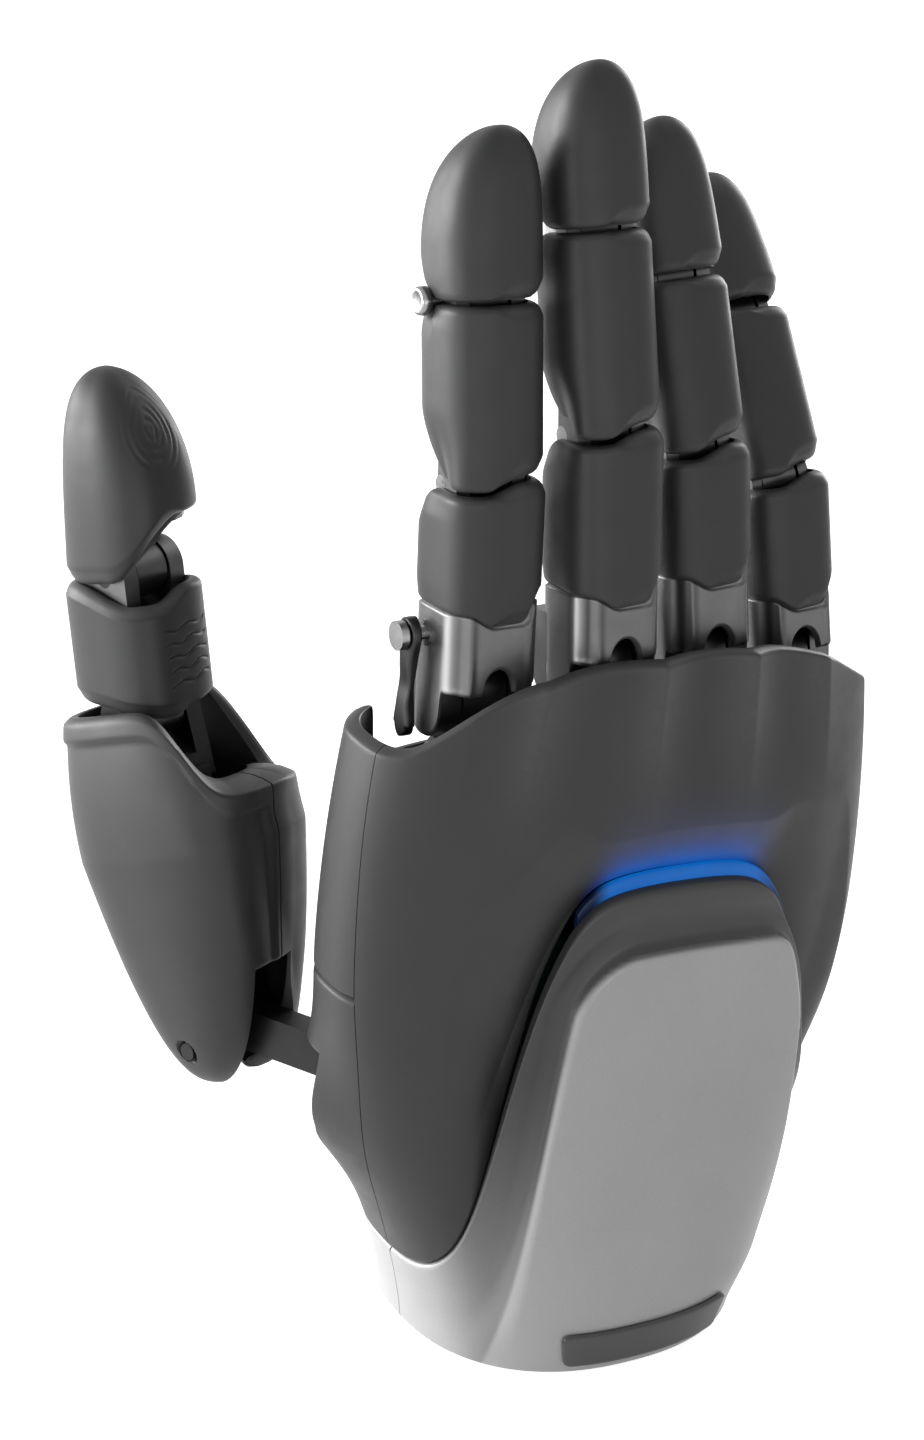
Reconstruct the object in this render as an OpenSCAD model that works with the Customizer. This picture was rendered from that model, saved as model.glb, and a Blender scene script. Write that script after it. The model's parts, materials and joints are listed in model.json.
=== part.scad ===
// Dexterous robot hand, right hand: five jointed fingers on a hollow palm.
// +Z runs up along the fingers, the back of the hand faces -Y, the thumb is on the -X side.
// The origin is the centre of the wrist mounting face.

/* [Palm] */
// Width of the palm where it is widest
palm_w = 93; // [89:1:97]
// Height of the widest place above the wrist face
palm_wide_z = 70; // [66:1:76]
// Depth from the hand's middle plane to the back of the palm
palm_back_d = 17.5; // [16.5:0.5:19]
// Depth from the hand's middle plane to the front of the palm
palm_front_d = 17; // [16:0.5:19]
// Height of the back rim over the middle finger's base joint
rim_over_knuckle = 4.5; // [3:0.5:6]
// How far the back rim falls towards the sides
rim_drop = 13; // [11:0.5:14]
// Height of the front rim, under the finger bases
front_rim_z = 94.5; // [91:0.5:95.5]
// Wall of the palm's plastic shells
palm_wall = 2; // [1.6:0.1:2.4]
// Gap along the seams between the shells
seam_gap = 0.3; // [0.2:0.05:0.5]
// How far the thumb's housing bulges from the palm
thenar_h = 5.5; // [4.5:0.5:7]

/* [Wrist] */
// Width of the wrist opening's outline
wrist_w = 57.2; // [55:0.2:61]
// Depth of the wrist opening's outline
wrist_d = 52; // [50:0.5:56]
// Diameter of the wrist flange
flange_d = 46; // [44:0.5:47]
// Thickness of the wrist flange
flange_t = 5; // [4:0.5:7]
// Bolt circle of the wrist flange
flange_bolt_circle = 36; // [32:0.5:37]
// Clearance hole of each wrist bolt
flange_bolt_d = 4.5; // [3.4:0.1:5.5]
// Cable passage through the wrist flange
flange_bore_d = 14; // [8:0.5:18]

/* [Back cover] */
// Height of the silver cover's top edge
cover_top_z = 81.6; // [77.6:0.5:84.6]
// Height of the silver sleeve on the thumb side
cuff_low_z = 15.5; // [13.5:0.5:18]
// Height of the silver sleeve on the little finger's side
cuff_high_z = 28; // [25:0.5:31]
// How far the cover's middle field stands proud
plateau_h = 1.8; // [1:0.1:2.4]
// Width of the light strip over the cover
light_w = 1.6; // [1.2:0.1:2]
// Width of the name plate
plate_w = 29; // [25:0.5:31]
// Height of the name plate
plate_h = 6; // [4.6:0.2:7]

/* [Fingers] */
// Distance between neighbouring fingers
finger_pitch = 19.3; // [19:0.1:19.6]
// Width of the index, middle and ring fingers
finger_w = 15.4; // [14.8:0.2:15.8]
// Width of the little finger
little_w = 14.4; // [13.8:0.2:14.8]
// Depth of a finger from back to pad
finger_d = 15.8; // [15.2:0.2:16.6]
// How far the joint axes lie towards the pad
axis_shift = 2.2; // [1.6:0.1:2.6]
// Wall of the finger covers
cover_wall = 1.5; // [1.2:0.1:1.7]
// Gap between two covers at a straight joint
joint_gap = 0.7; // [0.6:0.1:1.2]
// How far a cover is cut back for the bent joint, pad side
bend_relief = 10; // [9:0.5:11]
// Diameter of the hinge pins
pin_d = 3; // [2.5:0.1:3.4]
// Play of a pin in its turning bore, each side
running_fit = 0.05; // [0.03:0.01:0.1]
// Side play between a fork and its tongue
side_play = 0.35; // [0.3:0.05:0.5]
// Play of a cover on its frame
cover_fit = 0.1; // [0.05:0.05:0.2]

/* [Finger lengths] */
// Index: base joint to middle joint
index_prox = 32.2; // [31:0.2:35]
// Index: middle joint to end joint
index_mid = 26.8; // [25.6:0.2:29]
// Index: end joint to fingertip
index_tip = 24.6; // [23:0.2:27]
// Middle finger: base joint to middle joint
middle_prox = 35.4; // [34:0.2:38]
// Middle finger: middle joint to end joint
middle_mid = 29.8; // [28:0.2:32]
// Middle finger: end joint to fingertip
middle_tip = 24.4; // [23:0.2:27]
// Ring finger: base joint to middle joint
ring_prox = 32; // [31:0.2:35]
// Ring finger: middle joint to end joint
ring_mid = 25.6; // [25:0.2:28]
// Ring finger: end joint to fingertip
ring_tip = 23.4; // [22:0.2:26]
// Little finger: base joint to middle joint
little_prox = 28; // [27.4:0.2:30]
// Little finger: middle joint to end joint
little_mid = 26; // [25:0.2:28]
// Little finger: end joint to fingertip
little_tip = 22; // [21:0.2:24]
// Height of the middle finger's base joint over the wrist face
knuckle_z = 112.5; // [110:0.5:115]

/* [Thumb] */
// Swing axis to the thumb's base joint
thumb_base_l = 50; // [48:0.5:54]
// Base joint to end joint
thumb_prox_l = 22.8; // [22:0.2:26]
// End joint to the thumb's tip
thumb_tip_l = 32.6; // [30:0.2:35]
// Width of the thumb's outer links
thumb_w = 18; // [17:0.2:19]
// Depth of the thumb's outer links
thumb_d = 20; // [19:0.2:21]
// Half width of the thumb's base pod
pod_half_w = 15; // [14:0.5:16]
// Wall of the pod's two shells
pod_wall = 1.8; // [1.4:0.1:2.2]
// Distance from the roll axis to the swing axis
thumb_reach = 27.2; // [26.4:0.2:28.4]
// Height of the swing axis over the wrist face
thumb_z = 44; // [43:0.5:45.5]

/* [Hidden] */

$fn = 48;
DARK = [0.27, 0.275, 0.28];
METAL = [0.72, 0.73, 0.74];
SILVER = [0.78, 0.79, 0.8];
STEEL = [0.6, 0.61, 0.62];

// ---- Fingers: x, y, z of the base joint, lean towards +X, resting bends, lengths, width ----
INDEX = 0;
MIDDLE = 1;
RING = 2;
LITTLE = 3;
finger_middle_x = 3.35;
knuckle_y = [0.5, -3.2, 0.3, 4.4];
knuckle_fall = [3.7, 0, 2, 6.5];
lean = [0, -1.8, -3.6, -4];
rest_bend = [[5, 5, 1], [6.5, 7, 1], [8, 11, 4], [10.5, 20, 9]];
lengths = [[index_prox, index_mid, index_tip], [middle_prox, middle_mid, middle_tip],
           [ring_prox, ring_mid, ring_tip], [little_prox, little_mid, little_tip]];
widths = [finger_w, finger_w, finger_w, little_w];

pin_r = pin_d / 2;
turn_r = pin_r + running_fit;
eye_r = pin_r + 3.1;
base_eye_r = pin_r + 4;
spread_drop = 12;
knuckle_post_d = 6.4;
lug_t = 2.2;
lug_r = pin_r + 1.7;
spine_w = 7;
spine_back = 5;
spine_front = 2;
tongue_w = 6.2;
bulkhead_t = 4;
skirt_z = [14.4, 12.6, 14, 10.8];
skirt_tongue = 1.6;
skirt_gap = 0.3;
base_block_top = 12;
base_side_inset = 0.3;
pin_head_d = 4.4;
pin_head_t = 2.3;

// ---- Thumb: roll axis in the palm, swing axis at the foot of the pod ----
roll_x = -34.2;
roll_y = 6.4;
thumb_turn = 200;
reach_turn = 210.4;
thumb_rest = [-23, 10, 6];
hub_r = 4.6;
hub_low = 36;
hub_high = 48;
eye_w = 7;
arm_w = 4.6;
arm_t = 7;
swing_eye_r = 5;
pod_ear_t = 2.8;
pod_foot = -10.5;
pod_back = 15.5;
pod_front = 22.5;
pod_seam_turn = 97;
pod_widest = 0.65;
thumb_fork_z = thumb_base_l - 8;

// ---------------------------------------------------------------- helpers
function ease(u) = let (s = min(1, max(0, u))) s * s * (3 - 2 * s);
function bell(u) = exp(-u * u);
function steps(a, b, n) = [for (i = [0 : n]) a + (b - a) * i / n];

// A point of a superellipse: half width a, back depth bd (-Y), pad depth bp (+Y), squareness n.
function oval(t, a, bd, bp, n) =
  let (c = cos(t), s = sin(t), r = pow(pow(abs(c), n) + pow(abs(s), n), -1 / n))
  [a * r * c, (s > 0 ? bp : bd) * r * s];

// A closed wall between two grids of points. Rows run up, columns run against the clock.
// joined: the columns close into a tube. capped: the last row is closed by a flat cap.
module wall(outer, inner, joined = false, capped = false) {
  rows = len(outer);
  cols = len(outer[0]);
  start = rows * cols;
  last = joined ? cols - 1 : cols - 2;
  function at(i, j) = i * cols + j % cols;
  skin = [for (i = [0 : rows - 2], j = [0 : last]) each [
    [at(i, j), at(i + 1, j), at(i + 1, j + 1)], [at(i, j), at(i + 1, j + 1), at(i, j + 1)],
    [start + at(i, j), start + at(i + 1, j + 1), start + at(i + 1, j)],
    [start + at(i, j), start + at(i, j + 1), start + at(i + 1, j + 1)]]];
  foot = [for (j = [0 : last]) each [
    [at(0, j), at(0, j + 1), start + at(0, j + 1)], [at(0, j), start + at(0, j + 1), start + at(0, j)]]];
  top = rows - 1;
  brim = capped ? [[for (j = [cols - 1 : -1 : 0]) at(top, j)], [for (j = [0 : cols - 1]) start + at(top, j)]] :
    [for (j = [0 : last]) each [[at(top, j), start + at(top, j + 1), at(top, j + 1)],
                                [at(top, j), start + at(top, j), start + at(top, j + 1)]]];
  sides = joined ? [] : [for (i = [0 : rows - 2]) each [
    [at(i, 0), start + at(i + 1, 0), at(i + 1, 0)], [at(i, 0), start + at(i, 0), start + at(i + 1, 0)],
    [at(i, cols - 1), at(i + 1, cols - 1), start + at(i + 1, cols - 1)],
    [at(i, cols - 1), start + at(i + 1, cols - 1), start + at(i, cols - 1)]]];
  polyhedron(concat([for (r = outer) each r], [for (r = inner) each r]), concat(skin, foot, brim, sides));
}

// A flat shape drawn in Y and Z, as thick as from x0 to x1.
module slab(x0, x1) translate([x0, 0, 0]) rotate([90, 0, 90]) linear_extrude(x1 - x0) children();

// A round bar or hole along X or Y.
module bar_x(r, x0, x1) translate([x0, 0, 0]) rotate([0, 90, 0]) cylinder(r = r, h = x1 - x0);
module bar_y(r, y0, y1) translate([0, y1, 0]) rotate([90, 0, 0]) cylinder(r = r, h = y1 - y0);

// A rectangle with true round corners, centred.
module round_rect(w, d, r) {
  square([w - 2 * r, d], center = true);
  square([w, d - 2 * r], center = true);
  for (x = [-1, 1], y = [-1, 1]) translate([x * (w / 2 - r), y * (d / 2 - r)]) circle(r);
}

module box(x0, x1, y0, y1, z0, z1) translate([x0, y0, z0]) cube([x1 - x0, y1 - y0, z1 - z0]);

// ---------------------------------------------------------------- palm surface
rim_z = knuckle_z + rim_over_knuckle;
// The rim is as wide as the four fingers with room for their side play.
rim_room = 4.85;
rim_half = 1.5 * finger_pitch + finger_w / 2 + rim_room;
function grow(z) = pow(sin(90 * min(1, z / palm_wide_z)), 1.4);
function palm_half(z) = wrist_w / 2 + (palm_w - wrist_w) / 2 * grow(z)
  - (palm_w / 2 - rim_half) * pow(max(0, z - palm_wide_z) / (rim_z - palm_wide_z), 2);
function palm_back(z) = wrist_d / 2 + (palm_back_d - wrist_d / 2) * grow(z);
function palm_front(z) = wrist_d / 2 + (palm_front_d - wrist_d / 2) * grow(z);
function thenar(t, z) = thenar_h * bell((t - 158) / 27) * bell((z - thumb_z + 5) / 11.5);
function palm_point(t, z, off) =
  let (p = oval(t, palm_half(z) - off, palm_back(z) - off, palm_front(z) - off, 2.3 + 0.35 * grow(z)),
       b = thenar(t, z))
  [p.x + b * cos(t), p.y + b * sin(t), z];

// Heights of the rims and of the silver parts' edges, by angle around the palm.
edge_z = knuckle_z - 10;
function side_x(t, z) = oval(t, palm_half(z), palm_back(z), palm_front(z), 2.6).x;
function rim_at(t) = rim_z - rim_drop * pow(abs(side_x(t, edge_z)) / palm_half(edge_z), 3.5);
web_z = 8;
function front_rim_at(t) =
  let (x = side_x(t, edge_z), side = abs(x) / palm_half(edge_z), low = rim_z - rim_drop)
  front_rim_z + (low - front_rim_z) * (x < 0 ? ease((-x - 33) / 3.5) : ease((side - 0.86) / 0.14))
  + web_z * ease((-x - 38) / 2.5) * ease((palm_half(edge_z) + x) / 5);
// The silver cover's edge: up in a growing curve on the thumb side, over a flat crown, and down again.
cover_foot_turn = 182;
cover_left_turn = 256;
cover_crown_turn = 272;
cover_right_turn = 295;
function soft_top(k) = k / pow(1 + pow(k, 8), 1 / 8);
function cover_crown(t) = cover_top_z - 1.5 * pow((t - cover_crown_turn) / 25, 2);
function rising(t) = soft_top(1.13 * pow((t - cover_foot_turn) / (cover_left_turn - cover_foot_turn), 3));
function falling(t) = soft_top(1.21 * pow((back_end_turn - t) / (back_end_turn - cover_right_turn), 2.3));
function cover_edge(t) = t < cover_crown_turn ? cuff_low_z + (cover_crown(t) - cuff_low_z) * rising(t)
  : cuff_high_z + (cover_crown(t) - cuff_high_z) * falling(t);
function sleeve_edge(t) = cuff_low_z + (cuff_high_z - cuff_low_z) * pow((1 + cos(t)) / 2, 2);
side_turn = 182;
back_end_turn = 358;
seam_z = 64;
back_turns = steps(side_turn, back_end_turn, 44);

// The seam on the thumb side swings towards the back of the hand at mid height.
seam_swing = 20;
function swung(t, z) = t + seam_swing * ease(z / 60) * (1 - 0.3 * ease((z - 60) / 50)) * bell((t - side_turn) / 35);

// A piece of the palm's surface between two angles, from foot(t) to top(t) given as lists.
module palm_piece(turns, foots, tops, n, wall_t, lift) {
  heights = [for (k = [0 : n]) [for (i = [0 : len(turns) - 1]) foots[i] + (tops[i] - foots[i]) * k / n]];
  function place(i, z, off) = palm_point(swung(turns[i], z), z, off);
  wall([for (h = heights) [for (i = [0 : len(turns) - 1]) place(i, h[i], -lift(turns[i], h[i]))]],
       [for (h = heights) [for (i = [0 : len(turns) - 1]) place(i, h[i], wall_t)]]);
}

function flat_lift(t, z) = 0;
// The silver cover's field stands proud inside a soft border that follows the cover's edge.
field_left = -9;
field_right = 31.5;
field_drop = 9.6;
field_slant = 0.19;
function cover_lift(t, z) =
  let (x = side_x(t, z), left = x - field_left + field_slant * (cover_top_z - z),
       d = min(cover_crown(t) - field_drop - z, left, field_right - x))
  plateau_h * ease(d / 5 + 0.5) * ease(z / 12);

// ---------------------------------------------------------------- palm pieces
module palm_back_shell() color(DARK) {
  turns = back_turns;
  palm_piece(turns, [for (t = turns) cover_edge(t) + light_w + seam_gap], [for (t = turns) rim_at(t)],
             7, palm_wall, function(t, z) flat_lift(t, z));
}

module palm_front_shell() color(DARK) {
  turns = steps(back_end_turn - 360 + 0.4, side_turn - 0.4, 34);
  palm_piece(turns, [for (t = turns) seam_z + seam_gap / 2], [for (t = turns) front_rim_at(t)],
             5, palm_wall, function(t, z) flat_lift(t, z));
}

module palm_heel_cover() color(DARK) {
  turns = steps(back_end_turn - 360 + 0.4, housing_turn - 0.4, 18);
  palm_piece(turns, [for (t = turns) sleeve_edge(t) + seam_gap], [for (t = turns) seam_z - seam_gap / 2],
             5, palm_wall, function(t, z) flat_lift(t, z));
}

housing_turn = 112;
window_y = 7.5;
window_low = hub_low - 3;
window_high = hub_high + 2.5;
module thumb_housing() color(DARK) difference() {
  turns = steps(housing_turn, side_turn - 0.4, 14);
  palm_piece(turns, [for (t = turns) sleeve_edge(t) + seam_gap], [for (t = turns) seam_z - seam_gap / 2],
             8, palm_wall, function(t, z) flat_lift(t, z));
  box(-palm_w, roll_x + 14, window_y, palm_w, window_low, window_high);
}

module back_cover() color(SILVER) {
  turns = back_turns;
  palm_piece(turns, [for (t = turns) 0], [for (t = turns) cover_edge(t)], 13, palm_wall,
             function(t, z) cover_lift(t, z));
}

module wrist_sleeve() color(SILVER) {
  turns = steps(back_end_turn - 360 + 0.4, side_turn - 0.4, 24);
  palm_piece(turns, [for (t = turns) 0], [for (t = turns) sleeve_edge(t)], 4, palm_wall,
             function(t, z) flat_lift(t, z));
}

light_sink = 0.5;
light_from = 250;
light_to = 306;
module light_strip() {
  turns = [for (t = back_turns) if (t >= light_from && t <= light_to) t];
  foots = [for (t = turns) cover_edge(t) + seam_gap / 2];
  rows = steps(0, light_w, 1);
  function place(i, z, off) = palm_point(swung(turns[i], z), z, off);
  color([0.1, 0.4, 0.85]) wall(
    [for (r = rows) [for (i = [0 : len(turns) - 1]) place(i, foots[i] + r, light_sink)]],
    [for (r = rows) [for (i = [0 : len(turns) - 1]) place(i, foots[i] + r, palm_wall)]]);
}

plate_z = 5.2;
plate_t = 0.6;
plate_seat = 0.3;
plate_turn = 274;
module name_plate() color([0.3, 0.305, 0.31]) {
  half_turn = plate_w / wrist_w * 56;
  turns = steps(plate_turn - half_turn, plate_turn + half_turn, 12);
  zs = steps(plate_z - plate_h / 2, plate_z + plate_h / 2, 3);
  wall([for (z = zs) [for (t = turns) palm_point(t, z, -cover_lift(t, z) - plate_seat - plate_t)]],
       [for (z = zs) [for (t = turns) palm_point(t, z, -cover_lift(t, z) - plate_seat)]]);
}

// ---------------------------------------------------------------- palm inside
bar_low = knuckle_z - 30;
bar_high = bar_low + 5;
bar_y0 = -9;
bar_y1 = 9;
spine_x = 11;
spine_y = 3;
frame_foot = flange_t + 0.02;
lug_gap = knuckle_post_d / 2 + side_play;
roll_lug_t = 3.6;
lug_play = 0.3;
motor_r = 4.6;
motor_pitch = 10.6;
function motor_x(f) = -15.9 + motor_pitch * f;
roll_lug_r = 4;

function finger_x(f) = finger_middle_x + (f - 1.5) * finger_pitch;
function finger_z(f) = knuckle_z - knuckle_fall[f];
module at_spread(f) translate([finger_x(f), knuckle_y[f], finger_z(f)]) rotate([0, lean[f], 0])
  translate([0, 0, -spread_drop]) children();

module palm_frame() color(METAL) difference() {
  union() {
    box(finger_x(INDEX) - 6, finger_x(LITTLE) + 5, bar_y0, bar_y1, bar_low, bar_high);
    box(-spine_x, spine_x, -spine_y, spine_y, frame_foot, bar_low + 1);
    box(-spine_x, spine_x, -12, 12, frame_foot, frame_foot + 4);
    for (f = [INDEX : LITTLE], s = [-1, 1]) intersection() {
      at_spread(f) {
        translate([0, s * (lug_gap + lug_t / 2), 0]) {
          bar_y(lug_r, -lug_t / 2, lug_t / 2);
          box(-lug_r, lug_r, -lug_t / 2, lug_t / 2, -40, 0);
        }
      }
      box(-palm_w, palm_w, -palm_w, palm_w, bar_low, knuckle_z);
    }
    for (z = [hub_low - lug_play - roll_lug_t, hub_high + lug_play]) {
      translate([roll_x, roll_y, z]) cylinder(r = roll_lug_r, h = roll_lug_t);
      box(roll_x, motor_x(INDEX) - motor_r - lug_play, roll_y - roll_lug_r, roll_y + roll_lug_r, z, z + roll_lug_t);
      box(motor_x(INDEX) - motor_r - 6, -spine_x + 1, -spine_y, spine_y - lug_play, z, z + roll_lug_t);
    }
  }
  for (f = [INDEX : LITTLE]) at_spread(f) bar_y(pin_r, -20, 20);
  translate([roll_x, roll_y, 0]) cylinder(r = pin_r, h = palm_wide_z);
  translate([0, 0, frame_foot - 1]) cylinder(d = flange_bore_d + 4, h = 12);
}

module palm_pins() color(STEEL) {
  for (f = [INDEX : LITTLE]) at_spread(f) bar_y(pin_r, -lug_gap - lug_t, lug_gap + lug_t);
  translate([roll_x, roll_y, hub_low - lug_play - roll_lug_t])
    cylinder(r = pin_r, h = hub_high - hub_low + 2 * lug_play + 2 * roll_lug_t);
}

board_t = 1.6;
module control_board() color([0.05, 0.22, 0.12]) {
  box(-18, 18, -spine_y - 2 - board_t, -spine_y - 2, 22, 68);
  for (z = [30, 46]) box(-9, 7, -spine_y - 2 - board_t - 1.4, -spine_y - 2 - board_t, z, z + 10);
  for (x = [-9, 9], z = [26, 64]) translate([x, 0, z]) bar_y(2, -spine_y - 2, -spine_y);
}

motor_low = 24;
motor_high = 70;
thumb_motor_x = 7;
module actuators() color([0.42, 0.43, 0.44]) {
  for (f = [INDEX : LITTLE]) translate([motor_x(f), spine_y + motor_r, 0]) {
    translate([0, 0, motor_low]) cylinder(r = motor_r, h = motor_high - motor_low);
    translate([0, 0, motor_high]) cylinder(r = 2, h = bar_low - motor_high);
  }
  // The thumb's motor stands on the upper lug of the roll axis.
  translate([roll_x + thumb_motor_x, roll_y - 1.5, hub_high + lug_play + roll_lug_t]) cylinder(r = motor_r, h = 20);
}

flange_step = 1;
flange_inset = palm_wall + cover_fit + 0.15;
module wrist_flange() color(METAL) difference() {
  union() {
    cylinder(d = flange_d, h = flange_t);
    translate([0, 0, flange_step]) linear_extrude(flange_t - flange_step) polygon([for (t = steps(0, 355, 71))
      oval(t, palm_half(0) - flange_inset, palm_back(flange_t) - flange_inset, palm_front(flange_t) - flange_inset, 2.3)]);
  }
  translate([0, 0, -1]) cylinder(d = flange_bore_d, h = flange_t + 2);
  for (a = [45 : 90 : 315]) rotate(a) translate([flange_bolt_circle / 2, 0, -1])
    cylinder(d = flange_bolt_d, h = flange_t + 2);
}

// ---------------------------------------------------------------- finger placing
// Each place stands at a joint's axis, with +Z along the link and +Y towards the pad.
module at_base(f) translate([finger_x(f), knuckle_y[f], finger_z(f)]) rotate([0, lean[f], 0])
  rotate([-rest_bend[f][0], 0, 0]) children();
module at_mid(f) at_base(f) translate([0, 0, lengths[f][0]]) rotate([-rest_bend[f][1], 0, 0]) children();
module at_end(f) at_mid(f) translate([0, 0, lengths[f][1]]) rotate([-rest_bend[f][2], 0, 0]) children();

// ---------------------------------------------------------------- finger pieces
function inner_half(f) = widths[f] / 2 - cover_wall - cover_fit;
function fork_inner() = tongue_w / 2 + side_play;
back_y = -axis_shift - finger_d / 2;
pad_y = -axis_shift + finger_d / 2;

module finger_section(w, inset) translate([0, -axis_shift])
  round_rect(w - 2 * inset, finger_d - 2 * inset, 6.6 - inset);

// The side view of everything over a link's lower joint: level at the back, cut back at the pad.
module over_joint(relief) polygon([[back_y - 2, joint_gap / 2], [-2, joint_gap / 2], [pad_y, relief],
  [pad_y + 2, relief + 2], [pad_y + 2, 90], [back_y - 2, 90]]);
module under_joint(len, relief) polygon([[back_y - 2, -9], [pad_y + 2, -9],
  [pad_y + 2, len - relief - 1], [pad_y, len - relief], [0, len - joint_gap / 2], [back_y - 2, len - joint_gap / 2]]);
// The side view of everything over the base link's skirt, lower at the back.
module over_skirt(f, gap) polygon([[back_y - 2, skirt_z[f] - skirt_tongue - gap],
  [back_y + 0.5, skirt_z[f] - skirt_tongue - gap], [back_y + 6.5, skirt_z[f] - gap], [pad_y + 2, skirt_z[f] - gap],
  [pad_y + 2, 90], [back_y - 2, 90]]);

module tube(f, z0, z1) translate([0, 0, z0]) linear_extrude(z1 - z0) difference() {
  finger_section(widths[f], 0);
  finger_section(widths[f], cover_wall);
}

// A round bulkhead that the cover sits on.
module seat(f, z0, z1) translate([0, 0, z0]) linear_extrude(z1 - z0)
  finger_section(widths[f], cover_wall + cover_fit);

// The two ears of a fork round the axis at height len, joined below.
fork_depth = 7.4;
function fork_outer(f) = inner_half(f) - side_play;
module fork(f, len) intersection() {
  union() {
    for (s = [-1, 1]) slab(s > 0 ? fork_inner() : -fork_outer(f), s > 0 ? fork_outer(f) : -fork_inner()) {
      translate([0, len]) circle(eye_r);
      translate([-eye_r, len - fork_depth - 1]) square([2 * eye_r, fork_depth + 1]);
    }
    box(-fork_outer(f), fork_outer(f), -eye_r, eye_r, len - fork_depth - 3, len - fork_depth);
  }
  seat(f, len - fork_depth - 4, len + eye_r + 1);
}
module tongue(top) {
  slab(-tongue_w / 2, tongue_w / 2) {
    circle(eye_r - 0.3);
    translate([-spine_back + 1, 0]) square([spine_back + spine_front - 1, top]);
  }
}

function base_half(f) = widths[f] / 2 - base_side_inset;
function knuckle_half(f) = base_half(f) - ear_t - side_play;
ear_t = 3.4;
ear_top = base_eye_r + 3;
module knuckle(f) color(METAL) at_spread(f) difference() {
  union() {
    bar_y(base_eye_r, -knuckle_post_d / 2, knuckle_post_d / 2);
    box(-knuckle_half(f), knuckle_half(f), -knuckle_post_d / 2, knuckle_post_d / 2, 0, spread_drop);
    translate([0, 0, spread_drop]) bar_x(base_eye_r, -knuckle_half(f), knuckle_half(f));
  }
  bar_y(turn_r, -20, 20);
  translate([0, 0, spread_drop]) bar_x(turn_r, -20, 20);
}

module prox_frame(f) color(METAL) at_base(f) {
  len = lengths[f][0];
  difference() {
    union() {
      for (s = [-1, 1]) slab(s > 0 ? base_half(f) - ear_t : -base_half(f), s > 0 ? base_half(f) : ear_t - base_half(f)) {
        circle(base_eye_r);
        translate([-base_eye_r, 0]) square([2 * base_eye_r, ear_top]);
      }
      difference() {
        translate([0, 0, ear_top - 2.4]) linear_extrude(base_block_top) translate([0, -axis_shift])
          round_rect(2 * base_half(f), finger_d - 2 * cover_wall - 0.4, 4);
        slab(-20, 20) over_skirt(f, skirt_gap);
      }
      seat(f, ear_top - 1, skirt_z[f] + bulkhead_t);
      box(-spine_w / 2, spine_w / 2, -spine_back, spine_front, skirt_z[f] + bulkhead_t - 1, len - fork_depth - 2);
      fork(f, len);
    }
    translate([0, 0, ear_top - 2.4]) bar_y(3.4, back_y - 2, 0);
    translate([0, 0, len]) bar_x(pin_r, -20, 20);
    bar_x(pin_r, -20, 20);
    if (f == INDEX) at_stud() bar_x(stud_r, -20, stud_depth);
  }
}

module prox_cover(f) color(DARK) at_base(f) intersection() {
  tube(f, skirt_z[f] - skirt_tongue - 1, lengths[f][0]);
  slab(-20, 20) intersection() {
    over_skirt(f, 0);
    under_joint(lengths[f][0], 4.8);
  }
}

module base_pins(f) color(STEEL) at_base(f) {
  bar_x(pin_r, -base_half(f) + 0.4, base_half(f) - 0.4);
  translate([0, 0, lengths[f][0]]) bar_x(pin_r, -fork_outer(f), fork_outer(f));
  // The shoulder stud that carries the push rod's eye, with its head on the thumb side.
  if (f == INDEX) at_stud() {
    bar_x(stud_r, -link_side - rod_eye_t / 2 - link_play, stud_depth);
    bar_x(2 * stud_r, -link_side + rod_eye_t / 2 + link_play, 0);
    bar_x(2.2 * stud_r, -link_side - rod_eye_t / 2 - link_play - 1.2, -link_side - rod_eye_t / 2 - link_play);
  }
}
module at_stud() translate([-base_half(INDEX), link_y, link_up]) children();

module mid_frame(f) color(METAL) at_mid(f) {
  len = lengths[f][1];
  difference() {
    union() {
      tongue(len - fork_depth - 2);
      seat(f, bend_relief + 1, bend_relief + 1 + bulkhead_t);
      fork(f, len);
    }
    bar_x(turn_r, -20, 20);
    translate([0, 0, len]) bar_x(pin_r, -20, 20);
  }
}

module mid_cover(f) color(DARK) at_mid(f) difference() {
  intersection() {
    tube(f, 0, lengths[f][1]);
    slab(-20, 20) intersection() {
      over_joint(bend_relief);
      under_joint(lengths[f][1], 4);
    }
  }
  if (f == INDEX) translate([0, 0, lengths[f][1]]) bar_x(pin_r + 0.3, -20, 0);
}

// The index finger's end pin shows its head on the thumb side.
module end_pin(f) color(STEEL) at_mid(f) translate([0, 0, lengths[f][1]]) {
  bar_x(pin_r, f == INDEX ? -widths[f] / 2 - 0.2 : -fork_outer(f), fork_outer(f));
  if (f == INDEX) bar_x(pin_head_d / 2, -widths[f] / 2 - 0.2 - pin_head_t, -widths[f] / 2 - 0.2);
}

tip_relief = 5;
// A bulkhead with the tip cover's own outline.
module tip_seat(w, d, shift, foot, t) translate([0, -shift, foot]) linear_extrude(t)
  polygon([for (a = steps(0, 345, 23)) oval(a, w - cover_wall - cover_fit, d - cover_wall - cover_fit,
                                            d - cover_wall - cover_fit, 2.6)]);
module tip_frame(f) color(METAL) at_end(f) difference() {
  union() {
    tongue(lengths[f][2] - 8);
    tip_seat(widths[f] / 2, finger_d / 2, axis_shift, tip_relief + 1, 3.4);
  }
  bar_x(turn_r, -20, 20);
}

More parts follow.
